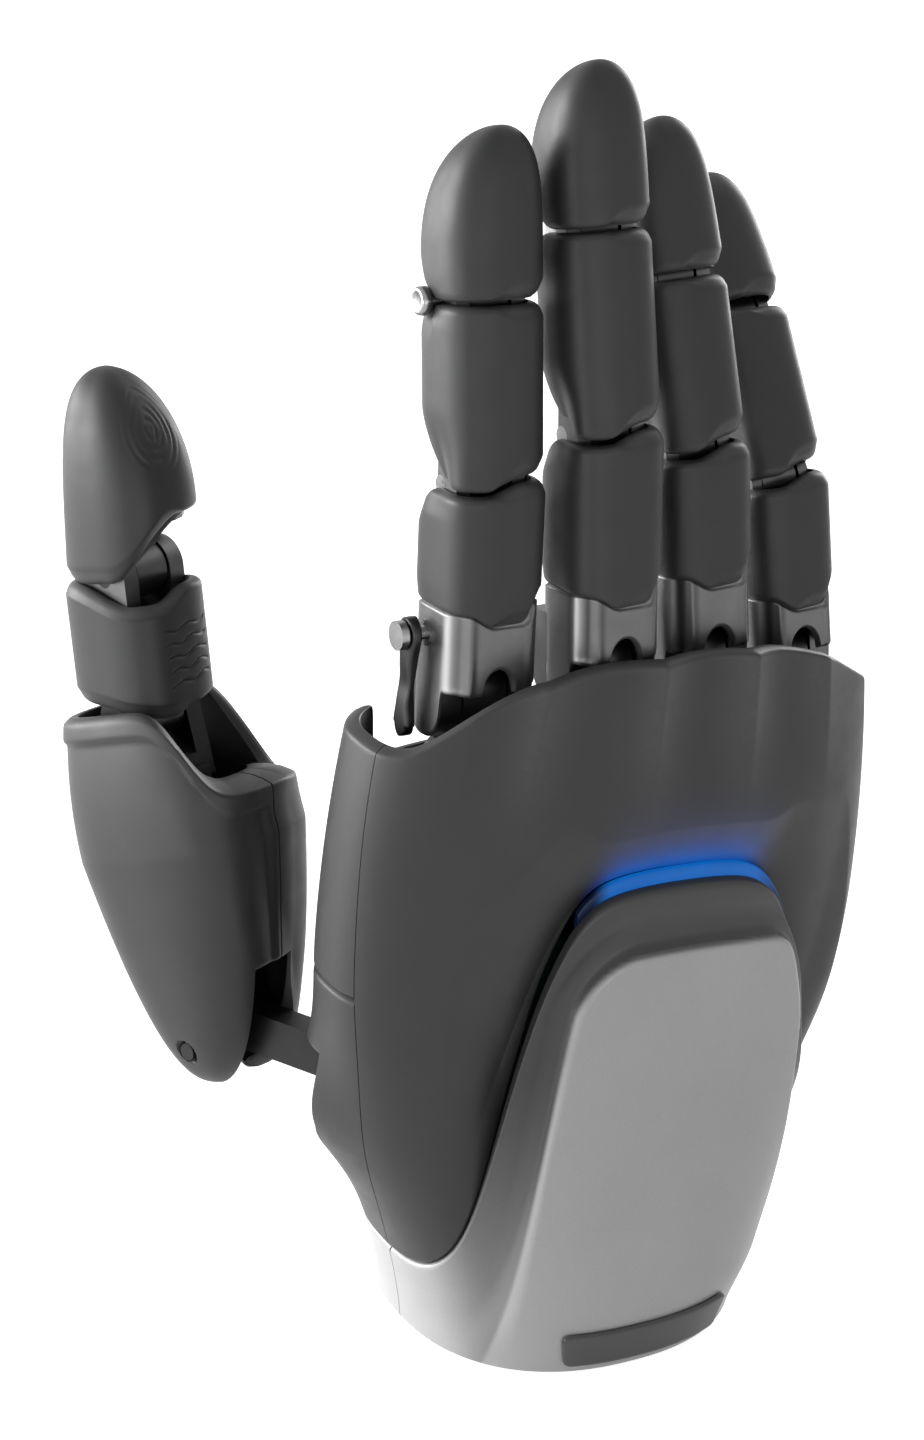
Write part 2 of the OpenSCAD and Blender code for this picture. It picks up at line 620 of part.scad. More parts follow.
// Rows of a domed fingertip: shoulder is the share of the length at which it starts to close.
function tip_rows(w, bd, bp, len, shoulder, inset, foot, tilt) =
  [for (k = [0 : 7]) let (
      u = sin(90 * k / 7), top = len - inset, open = max(0, (u - shoulder) / (1 - shoulder)),
      side = sqrt(max(0, 1 - pow(open, 2.6))) * 0.97 + 0.03, pad = sqrt(max(0, 1 - pow(open, 1.7))) * 0.97 + 0.03)
    [for (j = [0 : 23]) let (
        t = j * 15, p = oval(t, (w - inset) * side, (bd - inset) * side, (bp - inset) * pad, 2.6),
        z0 = foot + tilt * ease((p.y + axis_shift) / bp) * (1 - u))
      [p.x, p.y - axis_shift - (1 - side) * 1.2, z0 + (top - z0) * u]]];

module tip_cover(f) color(DARK) at_end(f) wall(
  tip_rows(widths[f] / 2, finger_d / 2, finger_d / 2, lengths[f][2], 0.36, 0, joint_gap / 2, tip_relief),
  tip_rows(widths[f] / 2, finger_d / 2, finger_d / 2, lengths[f][2], 0.36, cover_wall, joint_gap / 2, tip_relief),
  joined = true, capped = true);

// Push rod beside the index finger: a ball end on the base link, a clevis down into the palm.
link_up = 10.5;
link_y = -1;
link_l = 14;
link_side = 2.6;
link_play = 0.3;
rod_eye_t = 2.8;
stud_r = 1;
stud_depth = 2.6;
module index_link() color(STEEL) at_base(INDEX) at_stud() translate([-link_side, 0, 0]) difference() {
  union() {
    bar_x(2.6, -rod_eye_t / 2, rod_eye_t / 2);
    box(-1.2, 1.2, -1.8, 1.8, -link_l, 0);
    translate([0, 0, -link_l]) bar_x(2.1, -1.2, 1.2);
  }
  bar_x(stud_r + running_fit, -4, 4);
  translate([0, 0, -link_l]) bar_x(0.8, -4, 4);
}

// ---------------------------------------------------------------- thumb
swing_x = roll_x + thumb_reach * cos(reach_turn - 90);
swing_y = roll_y + thumb_reach * sin(reach_turn - 90);
module at_thumb() translate([swing_x, swing_y, thumb_z]) rotate([0, 0, thumb_turn]) children();
module at_pod() at_thumb() rotate([-thumb_rest[0], 0, 0]) children();
module at_thumb_prox() at_pod() translate([0, 0, thumb_base_l]) rotate([-thumb_rest[1], 0, 0]) children();
module at_thumb_tip() at_thumb_prox() translate([0, 0, thumb_prox_l]) rotate([-thumb_rest[2], 0, 0]) children();

module thumb_bracket() color(METAL) difference() {
  union() {
    translate([roll_x, roll_y, hub_low]) cylinder(r = hub_r, h = hub_high - hub_low);
    translate([roll_x, roll_y, 0]) rotate([0, 0, reach_turn - 90])
      box(0, thumb_reach - 2, -arm_w / 2, arm_w / 2, thumb_z - arm_t / 2, thumb_z + arm_t / 2);
    at_thumb() bar_x(swing_eye_r, -eye_w / 2, eye_w / 2);
  }
  translate([roll_x, roll_y, 0]) cylinder(r = turn_r, h = palm_wide_z);
  at_thumb() bar_x(turn_r, -20, 20);
}

pod_fork_in = eye_w / 2 + side_play;
pod_fork_out = pod_fork_in + pod_ear_t;
thumb_tongue_w = 7;
thumb_eye_r = 4;
thumb_fork_in = thumb_tongue_w / 2 + side_play;
thumb_fork_out = 7;
thumb_half_in = thumb_w / 2 - cover_wall - cover_fit;
module thumb_frame() color(METAL) at_pod() difference() {
  union() {
    for (s = [-1, 1]) slab(s > 0 ? pod_fork_in : -pod_fork_out, s > 0 ? pod_fork_out : -pod_fork_in) {
      circle(swing_eye_r);
      translate([-swing_eye_r, 0]) square([2 * swing_eye_r, 16]);
    }
    box(-pod_fork_out, pod_fork_out, -swing_eye_r, swing_eye_r, 12, 18);
    box(-5, 5, -5, 5, 17, thumb_fork_z - 2);
    box(-thumb_fork_out, thumb_fork_out, -thumb_eye_r, thumb_eye_r, thumb_fork_z - 4, thumb_fork_z);
    for (s = [-1, 1]) slab(s > 0 ? thumb_fork_in : -thumb_fork_out, s > 0 ? thumb_fork_out : -thumb_fork_in) {
      translate([0, thumb_base_l]) circle(thumb_eye_r);
      translate([-thumb_eye_r, thumb_fork_z - 1]) square([2 * thumb_eye_r, thumb_base_l - thumb_fork_z + 1]);
    }
  }
  bar_x(pin_r, -20, 20);
  translate([0, 0, screw_z]) bar_x(screw_r, 0, 20);
  translate([0, 0, thumb_base_l]) bar_x(pin_r, -20, 20);
}

// The pod's outline: blunt at the sides, drawn out towards the palm, open at the top.
function pod_top(t) = thumb_base_l + 1.5 - 14 * bell((t - 70) / 40) - 9 * bell((t - 130) / 35);
function pod_share(s, p) = pow(min(1, s / pod_widest), p) - 0.16 * pow(max(0, s - pod_widest) / (1 - pod_widest), 2);
function pod_point(t, z, off) =
  let (s = max(0.00001, (z - pod_foot) / (thumb_base_l - pod_foot)),
       p = oval(t, max(0.3, pod_half_w * pod_share(s, 0.25) - off), max(0.3, pod_back * pod_share(s, 0.33) - off),
                max(0.3, pod_front * pod_share(s, 0.45) - off), 2.7))
  [p.x, p.y, z + off * (1 - ease(s * 4))];
module pod_shell(from, to, n) {
  turns = steps(from, to, n);
  shares = [0, 0.02, 0.06, 0.13, 0.23, 0.35, 0.48, 0.62, 0.76, 0.88, 1];
  wall([for (k = shares) [for (t = turns) pod_point(t, pod_foot + k * (pod_top(t) - pod_foot), 0)]],
       [for (k = shares) [for (t = turns) pod_point(t, pod_foot + k * (pod_top(t) - pod_foot), pod_wall)]]);
}
// Room for the bracket's arm at the pod's foot, through the whole swing.
module arm_room() slab(-eye_w / 2 - 1.4, eye_w / 2 + 1.4) polygon([[-8, 9], [-8, -4], [-3, -12], [30, -40], [30, 9]]);
screw_z = -3.4;
screw_r = 0.8;
screw_head_r = 1.4;
screw_reach = 2.6;
module thumb_outer_shell() color(DARK) at_pod() difference() {
  translate([seam_gap / 2, 0, 0]) pod_shell(-pod_seam_turn, pod_seam_turn, 18);
  arm_room();
  translate([0, 0, screw_z]) bar_x(screw_head_r + cover_fit, 0, 20);
}
module thumb_inner_shell() color(DARK) at_pod() difference() {
  translate([-seam_gap / 2, 0, 0]) pod_shell(pod_seam_turn, 360 - pod_seam_turn, 18);
  arm_room();
}
module thumb_fasteners() color(STEEL) at_pod() {
  translate([0, 0, screw_z]) {
    bar_x(screw_r, pod_fork_in + 0.4, pod_fork_out + screw_reach);
    bar_x(screw_head_r, pod_fork_out + screw_reach - 1, pod_fork_out + screw_reach);
  }
  bar_x(pin_r, -pod_fork_out, pod_fork_out);
  translate([0, 0, thumb_base_l]) bar_x(pin_r, -thumb_fork_out, thumb_fork_out);
}

thumb_shift = 0.5;
module thumb_section(inset) translate([0, -thumb_shift]) round_rect(thumb_w - 2 * inset, thumb_d - 2 * inset, 7 - inset);
thumb_back = -thumb_shift - thumb_d / 2;
thumb_pad = -thumb_shift + thumb_d / 2;
module thumb_prox_frame() color(METAL) at_thumb_prox() difference() {
  union() {
    slab(-thumb_tongue_w / 2, thumb_tongue_w / 2) {
      circle(thumb_eye_r);
      translate([-4, 0]) square([7, thumb_prox_l - 9]);
    }
    translate([0, 0, 7]) linear_extrude(4) thumb_section(cover_wall + cover_fit);
    for (s = [-1, 1]) slab(s > 0 ? fork_inner() : -thumb_half_in + 1, s > 0 ? thumb_half_in - 1 : -fork_inner()) {
      translate([0, thumb_prox_l]) circle(eye_r);
      translate([-eye_r, 10]) square([2 * eye_r, thumb_prox_l - 10]);
    }
  }
  bar_x(turn_r, -20, 20);
  translate([0, 0, thumb_prox_l]) bar_x(pin_r, -20, 20);
}
module thumb_prox_cover() color(DARK) at_thumb_prox() intersection() {
  translate([0, 0, 0]) linear_extrude(thumb_prox_l) difference() {
    thumb_section(0);
    thumb_section(cover_wall);
  }
  slab(-20, 20) polygon([[thumb_back - 1, 3], [-2, 1], [3, 1], [thumb_pad + 1, 5], [thumb_pad + 1, thumb_prox_l - 5],
    [0, thumb_prox_l - 3], [thumb_back - 1, thumb_prox_l - 0.4]]);
}
module thumb_end_pin() color(STEEL) at_thumb_prox() translate([0, 0, thumb_prox_l])
  bar_x(pin_r, -thumb_half_in + 1, thumb_half_in - 1);
module thumb_tip_frame() color(METAL) at_thumb_tip() difference() {
  union() {
    tongue(thumb_tip_l - 10);
    tip_seat(thumb_w / 2, thumb_d / 2, thumb_shift, 9, 3.6);
  }
  bar_x(turn_r, -20, 20);
}
function thumb_tip_rows(inset) =
  [for (k = [0 : 8]) let (
      u = sin(90 * k / 8), top = thumb_tip_l - inset, open = max(0, (u - 0.4) / 0.6),
      side = sqrt(max(0, 1 - pow(open, 2.4))) * 0.97 + 0.03, pad = sqrt(max(0, 1 - pow(open, 1.5))) * 0.97 + 0.03)
    [for (j = [0 : 23]) let (
        t = j * 15, p = oval(t, (thumb_w / 2 - inset) * side, (thumb_d / 2 - inset) * side,
                             (thumb_d / 2 - inset) * pad, 2.6),
        z0 = -1.5 + 12 * ease((p.y + thumb_d / 2) / thumb_d) * (1 - u))
      [p.x, p.y - thumb_shift - (1 - side) * 1.5, z0 + (top - z0) * u]]];
module thumb_tip_cover() color(DARK) at_thumb_tip()
  wall(thumb_tip_rows(0), thumb_tip_rows(cover_wall), joined = true, capped = true);

palm_back_shell();
palm_front_shell();
palm_heel_cover();
thumb_housing();
back_cover();
wrist_sleeve();
light_strip();
name_plate();
palm_frame();
control_board();
actuators();
wrist_flange();
palm_pins();
knuckle(INDEX);  // index_knuckle
prox_frame(INDEX);  // index_prox_frame
prox_cover(INDEX);  // index_prox_cover
base_pins(INDEX);  // index_base_pins
mid_frame(INDEX);  // index_mid_frame
mid_cover(INDEX);  // index_mid_cover
end_pin(INDEX);  // index_end_pin
tip_frame(INDEX);  // index_tip_frame
tip_cover(INDEX);  // index_tip_cover
index_link();
knuckle(MIDDLE);  // middle_knuckle
prox_frame(MIDDLE);  // middle_prox_frame
prox_cover(MIDDLE);  // middle_prox_cover
base_pins(MIDDLE);  // middle_base_pins
mid_frame(MIDDLE);  // middle_mid_frame
mid_cover(MIDDLE);  // middle_mid_cover
end_pin(MIDDLE);  // middle_end_pin
tip_frame(MIDDLE);  // middle_tip_frame
tip_cover(MIDDLE);  // middle_tip_cover
knuckle(RING);  // ring_knuckle
prox_frame(RING);  // ring_prox_frame
prox_cover(RING);  // ring_prox_cover
base_pins(RING);  // ring_base_pins
mid_frame(RING);  // ring_mid_frame
mid_cover(RING);  // ring_mid_cover
end_pin(RING);  // ring_end_pin
tip_frame(RING);  // ring_tip_frame
tip_cover(RING);  // ring_tip_cover
knuckle(LITTLE);  // little_knuckle
prox_frame(LITTLE);  // little_prox_frame
prox_cover(LITTLE);  // little_prox_cover
base_pins(LITTLE);  // little_base_pins
mid_frame(LITTLE);  // little_mid_frame
mid_cover(LITTLE);  // little_mid_cover
end_pin(LITTLE);  // little_end_pin
tip_frame(LITTLE);  // little_tip_frame
tip_cover(LITTLE);  // little_tip_cover
thumb_bracket();
thumb_frame();
thumb_outer_shell();
thumb_inner_shell();
thumb_fasteners();
thumb_prox_frame();
thumb_prox_cover();
thumb_end_pin();
thumb_tip_frame();
thumb_tip_cover();
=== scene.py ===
import json
import math

import bpy
import numpy as np
from mathutils import Matrix, Vector


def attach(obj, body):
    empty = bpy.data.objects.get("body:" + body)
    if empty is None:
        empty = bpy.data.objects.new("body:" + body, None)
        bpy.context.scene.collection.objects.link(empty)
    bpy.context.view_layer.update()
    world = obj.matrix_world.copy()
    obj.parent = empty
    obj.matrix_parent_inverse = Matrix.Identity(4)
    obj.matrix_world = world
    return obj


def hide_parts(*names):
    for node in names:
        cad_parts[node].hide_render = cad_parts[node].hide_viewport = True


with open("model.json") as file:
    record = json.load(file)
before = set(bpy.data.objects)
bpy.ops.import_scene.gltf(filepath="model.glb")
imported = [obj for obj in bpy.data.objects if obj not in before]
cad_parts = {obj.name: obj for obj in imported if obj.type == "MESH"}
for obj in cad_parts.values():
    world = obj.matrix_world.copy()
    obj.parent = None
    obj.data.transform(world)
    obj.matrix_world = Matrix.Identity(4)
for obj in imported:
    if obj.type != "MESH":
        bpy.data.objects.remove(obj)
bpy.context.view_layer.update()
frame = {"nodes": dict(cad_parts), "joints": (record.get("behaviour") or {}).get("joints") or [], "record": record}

# All shapes are worked out in millimetres, with +Z up along the fingers and the palm facing +Y.
MM = 0.001
JOINTS = {joint["name"]: joint for joint in frame["joints"]}
FINGERS = ("index", "middle", "ring", "little")


# ---- small formulas
def clamp(u):
    """u held between 0 and 1."""
    return np.clip(u, 0.0, 1.0)


def above(u):
    """u where it is above 0, else 0."""
    return np.maximum(0.0, u)


def ease(u):
    """s^2 (3 - 2 s), with s = u held between 0 and 1."""
    s = clamp(u)
    return s * s * (3.0 - 2.0 * s)


def bell(u):
    """exp(-u^2)."""
    return np.exp(-np.square(u))


def oval(turn, half, back, front, square):
    """Superellipse |x/a|^n + |y/b|^n = 1 at a turn in degrees, b = back where y < 0, else front."""
    c, s = np.cos(np.radians(turn)), np.sin(np.radians(turn))
    r = (np.abs(c) ** square + np.abs(s) ** square) ** (-1.0 / square)
    return half * r * c, np.where(s > 0.0, front, back) * r * s


def chord(r, y):
    """sqrt(r^2 - y^2), and 0 beyond r."""
    return np.sqrt(above(r ** 2 - y ** 2))


def shares(count):
    """A column of even steps from 0 to 1."""
    return np.linspace(0.0, 1.0, count)[:, None]


def stack(*parts):
    """Points from their x, y and z."""
    return np.stack(np.broadcast_arrays(*parts), axis=-1)


def unit(v):
    return v / np.maximum(np.linalg.norm(v, axis=-1, keepdims=True), 1e-9)


# ---- meshes
NO_TRIS = np.zeros((0, 3), int)
SHARP_ANGLE = math.radians(42)
# Rows in the round edge of a wall, and how many of them stand before the outer rows of its loop.
EDGE_ROWS, FOOT_ROWS = 4, 2


def half_round(start, end, bulge, count):
    """Points m + r cos(a) + |r| sin(a) e, with m the middle, r half the gap, e the bulge's direction."""
    middle, reach = (start + end) / 2.0, (start - end) / 2.0
    a = np.pi * (np.arange(count) + 1.0) / (count + 1.0)
    size = np.linalg.norm(reach, axis=-1, keepdims=True)
    cos, sin = np.cos(a)[:, None, None], np.sin(a)[:, None, None]
    return middle + reach * cos + bulge * size * sin


def wall_loop(outer, inner, brim_rise=1.0):
    """Rows that run up the outside, over a round brim, down the inside and round the foot."""
    up = unit(outer[-1] - outer[-3]) * brim_rise
    down = unit(outer[0] - outer[2])
    brim = half_round(outer[-1], inner[-1], up, EDGE_ROWS)
    foot = half_round(inner[0], outer[0], down, EDGE_ROWS)
    return np.concatenate([foot[FOOT_ROWS:], outer, brim, inner[::-1], foot[:FOOT_ROWS]])


def grid_quads(rows, cols, loop_rows, loop_cols):
    i = np.arange(rows if loop_rows else rows - 1)
    j = np.arange(cols if loop_cols else cols - 1)
    i, j = (g.ravel() for g in np.meshgrid(i, j, indexing="ij"))
    up, across = (i + 1) % rows, (j + 1) % cols
    return np.stack([i * cols + j, i * cols + across, up * cols + across, up * cols + j], 1)


def volume_of(points, quads, tris):
    """Sum of a . (b x c) / 6 over the triangles; above 0 where the faces point outwards."""
    corners = np.concatenate([quads[:, [0, 1, 2]], quads[:, [0, 2, 3]], tris])
    a, b, c = points[corners[:, 0]], points[corners[:, 1]], points[corners[:, 2]]
    return float(np.sum(a * np.cross(b, c)) / 6.0)


def mesh_from(name, points, quads, tris):
    """A mesh in metres from points in millimetres, its faces turned outwards."""
    if volume_of(points - points.mean(0), quads, tris) < 0.0:
        quads, tris = quads[:, ::-1], tris[:, ::-1]
    mesh = bpy.data.meshes.new(name)
    corners = np.concatenate([quads.ravel(), tris.ravel()]).astype(np.int32)
    starts = np.concatenate([np.arange(len(quads)) * 4, len(quads) * 4 + np.arange(len(tris)) * 3])
    mesh.vertices.add(len(points))
    mesh.vertices.foreach_set("co", (points * MM).astype(np.float32).ravel())
    mesh.loops.add(len(corners))
    mesh.loops.foreach_set("vertex_index", corners)
    mesh.polygons.add(len(starts))
    mesh.polygons.foreach_set("loop_start", starts.astype(np.int32))
    mesh.update(calc_edges=True)
    mesh.validate()
    mesh.polygons.foreach_set("use_smooth", np.ones(len(mesh.polygons), bool))
    mesh.set_sharp_from_angle(angle=SHARP_ANGLE)
    return mesh


def new_object(name, data):
    thing = bpy.data.objects.new(name, data)
    bpy.context.scene.collection.objects.link(thing)
    return thing


def dress(mesh, body, slot, finish, *nodes):
    """A piece named as its mesh, which rides on a body and stands for CAD nodes."""
    piece = new_object(mesh.name, mesh)
    mesh.materials.append(FINISH[finish])
    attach(piece, body)
    if nodes:
        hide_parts(*nodes)


def shell_mesh(name, outer, inner, brim_rise=1.0):
    """A wall open at both sides: its rows close into a loop, and flat strips close its two ends."""
    loop = wall_loop(outer, inner, brim_rise)
    rows, cols = loop.shape[:2]
    quads = grid_quads(rows, cols, True, False)
    r = np.arange(rows // 2 - 1)
    near = np.stack([r, r + 1, rows - 2 - r, rows - 1 - r], 1) * cols
    far = near[:, ::-1] + cols - 1
    return mesh_from(name, loop.reshape(-1, 3), np.concatenate([quads, near, far]), NO_TRIS)


def carry(mesh, name, values):
    """Gives the mesh a value per point, for its material to read."""
    layer = mesh.attributes.new(name, "FLOAT", "POINT")
    layer.data.foreach_set("value", values.astype(np.float32).ravel())


def carry_rows(mesh, name, outer_rows, before=FOOT_ROWS):
    """A value on the outer rows of a grid, which start after `before` rows; 0 on all the others."""
    values = np.zeros(len(mesh.vertices))
    start = before * outer_rows.shape[1]
    values[start:start + outer_rows.size] = outer_rows.ravel()
    carry(mesh, name, values)


def ring_mesh(name, outer, inner, wear_and_painted_highlight):
    """A wall that goes all the way round, closed in both directions."""
    loop = wall_loop(outer, inner)
    rows, cols = loop.shape[:2]
    mesh = mesh_from(name, loop.reshape(-1, 3), grid_quads(rows, cols, True, True), NO_TRIS)
    carry_rows(mesh, "wear_and_painted_highlight", wear_and_painted_highlight)
    return mesh


def capped(grid):
    """Points, quads and triangles of a closed tube, each end drawn in to a pole at its middle."""
    rows, cols = grid.shape[:2]
    poles = np.stack([grid[0].mean(0), grid[-1].mean(0)])
    points = np.concatenate([grid.reshape(-1, 3), poles])
    j = np.arange(cols)
    ahead = (j + 1) % cols
    top = (rows - 1) * cols
    low = np.stack([np.full(cols, rows * cols), ahead, j], 1)
    high = np.stack([np.full(cols, rows * cols + 1), top + j, top + ahead], 1)
    return points, grid_quads(rows, cols, False, True), np.concatenate([low, high])


def dome_mesh(name, outer, inner, wear_and_painted_highlight):
    """A thimble: down the inside from its pole, round the foot, up the outside to its pole."""
    foot = half_round(inner[0], outer[0], unit(outer[0] - outer[2]), EDGE_ROWS)
    mesh = mesh_from(name, *capped(np.concatenate([inner[::-1], foot, outer])))
    carry_rows(mesh, "wear_and_painted_highlight", wear_and_painted_highlight, len(inner) + EDGE_ROWS)
    return mesh


def rolled(distance, radius):
    """How far a rounded edge falls back: r (1 - sqrt(1 - (1 - d/r)^2)) within r of the edge."""
    k = clamp(1.0 - distance / radius)
    return radius * (1.0 - np.sqrt(1.0 - k * k * 0.98))


# ---- materials
WHITE = (1.0, 1.0, 1.0, 1.0)
EVEN = (1.0, 1.0, 1.0)


def new_nodes(name):
    material = bpy.data.materials.new(name)
    material.use_nodes = True
    return material, *nodes_of(material)


def nodes_of(material):
    return material.node_tree, material.node_tree.nodes["Principled BSDF"]


def settle(node, settings):
    """Sets inputs by name: a number or a colour is their value, a socket is linked to them."""
    for key, value in settings.items():
        if isinstance(value, (float, tuple)):
            node.inputs[key].default_value = value
        else:
            node.id_data.links.new(value, node.inputs[key])


def noise(tree, coordinates, scale, detail, rough=0.5):
    node = tree.nodes.new("ShaderNodeTexNoise")
    settle(node, {"Scale": scale, "Detail": detail, "Roughness": rough, "Vector": coordinates})
    return node.outputs["Fac"]


def combine(tree, operation, first, second):
    """A math node over two values or sockets."""
    node = tree.nodes.new("ShaderNodeMath")
    node.operation = operation
    settle(node, {0: first, 1: second})
    return node.outputs[0]


def spread(tree, value, to_low, to_high, low=0.3, high=0.7):
    """Maps low to high, by default the band that noise fills, onto to_low to to_high."""
    node = tree.nodes.new("ShaderNodeMapRange")
    settle(node, {"From Min": low, "From Max": high, "To Min": to_low, "To Max": to_high,
                  "Value": value})
    return node.outputs["Result"]


def blend_colours(tree, factor, first, second):
    node = tree.nodes.new("ShaderNodeMix")
    node.data_type = "RGBA"
    settle(node, {"Factor": factor, "A": first, "B": second})
    return node.outputs["Result"]


def grey(value, tint=EVEN):
    return *(value * part for part in tint), 1.0


def coordinates_of(tree, stretch=EVEN):
    source = tree.nodes.new("ShaderNodeTexCoord")
    mapping = tree.nodes.new("ShaderNodeMapping")
    settle(mapping, {"Scale": stretch, "Vector": source.outputs["Object"]})
    return mapping.outputs["Vector"]


def add_bump(tree, shader, height, depth):
    bump = tree.nodes.new("ShaderNodeBump")
    settle(bump, {"Distance": depth, "Strength": 1.0, "Height": height})
    settle(shader, {"Normal": bump.outputs["Normal"]})


def mesh_value(tree, name):
    """A value that the mesh carries per point; 0 on a mesh that has none."""
    node = tree.nodes.new("ShaderNodeAttribute")
    node.attribute_name = name
    return node.outputs["Fac"]


# Depths of the surface grain, in metres.
PLASTIC_GRAIN, METAL_GRAIN = 0.00002, 0.000012
# Grey of the painted shade on the silver cover's sloping border.
BORDER_PAINTED_SHADE = 0.027


def moulded_plastic(name, shade, wear_and_painted_highlight, rough, tint=EVEN):
    """Fine spark-eroded grain and cloudy tone; paler where the mesh carries wear (the covers' rubbed edges) and
    painted highlight (the back shell's ridges and brim), darker where it carries painted shade.
    """
    material, tree, shader = new_nodes(name)
    place = coordinates_of(tree)
    cloud = spread(tree, noise(tree, place, 48.0, 5.0, 0.62), 0.0, 1.0)
    body = blend_colours(tree, cloud, grey(shade * 0.93, tint), grey(shade * 1.07, tint))
    patchy = spread(tree, noise(tree, place, 900.0, 4.0, 0.6), 0.5, 0.72)
    # Paler mix: real wear on the covers' edges, painted highlight on the back shell's ridges and brim.
    wear_and_painted_highlight_share = combine(tree, "MULTIPLY", mesh_value(tree, "wear_and_painted_highlight"), patchy)
    colour = blend_colours(tree, wear_and_painted_highlight_share, body, grey(wear_and_painted_highlight, tint))
    # Painted shade: darker where the mesh carries painted shade.
    colour = blend_colours(tree, mesh_value(tree, "painted_shade"), colour, grey(shade * 0.22, tint))
    uneven = spread(tree, noise(tree, place, 260.0, 4.0), rough - 0.04, rough + 0.05)
    settle(shader, {"Base Color": colour, "Roughness": uneven, "Specular IOR Level": 0.3})
    add_bump(tree, shader, noise(tree, place, 3600.0, 3.0, 0.6), PLASTIC_GRAIN)
    return material


def painted_silver():
    """Silver paint over plastic: fine flake, painted shade on the cover's sloping border, soft gloss."""
    material, tree, shader = new_nodes("silver_painted_plastic")
    place = coordinates_of(tree)
    cloud = spread(tree, noise(tree, place, 40.0, 4.0, 0.6), 0.0, 1.0)
    flake = noise(tree, place, 5200.0, 2.0, 0.6)
    light = blend_colours(tree, cloud, grey(0.37), grey(0.41))
    speck = blend_colours(tree, spread(tree, flake, 0.0, 0.35, 0.35, 0.65), light, grey(0.5))
    # Painted shade: the border darkens where the mesh carries painted shade.
    colour = blend_colours(tree, mesh_value(tree, "painted_shade"), speck, grey(BORDER_PAINTED_SHADE))
    uneven = spread(tree, noise(tree, place, 300.0, 4.0), 0.36, 0.44)
    settle(shader, {"Base Color": colour, "Roughness": uneven, "Metallic": 0.12,
                    "Specular IOR Level": 0.4})
    add_bump(tree, shader, flake, METAL_GRAIN)
    return material


def turned_metal(name, shade, rough, tint=EVEN, stretch=(1.0, 1.0, 14.0), metal=1.0):
    """Blasted and brushed alloy: streaks along one direction and small clouds in tone and gloss; paler with
    painted highlight and darker with painted shade where the mesh carries them.
    """
    material, tree, shader = new_nodes(name)
    place = coordinates_of(tree)
    streaks = noise(tree, coordinates_of(tree, stretch), 380.0, 6.0, 0.65)
    cloud = spread(tree, noise(tree, place, 120.0, 5.0, 0.6), 0.0, 1.0)
    body = blend_colours(tree, cloud, grey(shade * 0.88, tint), grey(shade * 1.08, tint))
    # Painted highlight: paler where the mesh carries it (the hoods' cheeks).
    colour = blend_colours(tree, mesh_value(tree, "wear_and_painted_highlight"), body, grey(min(1.0, shade * 3.2), tint))
    # Painted shade: darker where the mesh carries it (beside the hoods' flutes).
    colour = blend_colours(tree, mesh_value(tree, "painted_shade"), colour, grey(shade * 0.3, tint))
    settle(shader, {"Base Color": colour, "Metallic": metal,
                    "Roughness": spread(tree, streaks, rough - 0.05, rough + 0.07)})
    add_bump(tree, shader, streaks, METAL_GRAIN)
    return material


# Shade, paler shade for painted highlights, roughness and tint of the palm's and pod's shells.
SHELL_LOOK = (0.037, 0.1, 0.46, (1.0, 1.005, 1.01))


def make_finishes():
    """Every finish on the hand, by its plain name."""
    return {
        "cover": moulded_plastic("dark_cover_plastic", 0.033, 0.095, 0.47, (1.0, 1.01, 1.015)),
        "shell": moulded_plastic("dark_shell_plastic", *SHELL_LOOK),
        "silver": painted_silver(),
        "frame": turned_metal("machined_alloy", 0.12, 0.36, (1.0, 1.005, 1.01)),
        "hood": turned_metal("blasted_alloy", 0.15, 0.34, (1.0, 1.005, 1.0), (1.0, 1.0, 4.0), 0.55),
        "dark_alloy": turned_metal("blackened_alloy", 0.04, 0.4),
        "steel": turned_metal("pin_steel", 0.3, 0.28, EVEN, (14.0, 1.0, 1.0)),
        "motor": turned_metal("motor_can", 0.16, 0.38, (1.0, 1.0, 1.02)),
        "plate": moulded_plastic("name_plate_grey", 0.08, 0.16, 0.38, (1.0, 1.0, 1.01)),
        "board": moulded_plastic("board_green", 0.05, 0.08, 0.42, (0.5, 1.5, 0.8)),
        "painted_light_spill": painted_spill_shell(),
        "light": light_diffuser(),
    }


def painted_spill_shell():
    """The dark shell with painted blue light spill: emission that stands in for the strip's light on it, pale and
    strong at the strip, deep blue above.
    """
    material = moulded_plastic("dark_shell_painted_spill", *SHELL_LOOK)
    tree, shader = nodes_of(material)
    spill = mesh_value(tree, "glow_and_painted_spill")
    hue = blend_colours(tree, spread(tree, spill, 0.0, 1.0, 0.1, 0.8),
                        (0.012, 0.03, 0.2, 1.0), (0.002, 0.075, 0.38, 1.0))
    uneven = spread(tree, noise(tree, coordinates_of(tree), 90.0, 2.0), 0.92, 1.06)
    settle(shader, {"Emission Color": hue, "Emission Strength": combine(tree, "MULTIPLY", spill, uneven)})
    return material


def light_diffuser():
    """Milky blue strip whose emission is a little uneven along its length."""
    material, tree, shader = new_nodes("light_diffuser")
    uneven = spread(tree, noise(tree, coordinates_of(tree), 240.0, 2.0), 0.88, 1.0)
    settle(shader, {"Base Color": (0.004, 0.012, 0.05, 1.0), "Roughness": 0.4,
                    "Specular IOR Level": 0.2, "Emission Color": (0.001, 0.115, 0.45, 1.0),
                    "Emission Strength": combine(tree, "MULTIPLY", mesh_value(tree, "glow_and_painted_spill"), uneven)})
    return material


FINISH = make_finishes()

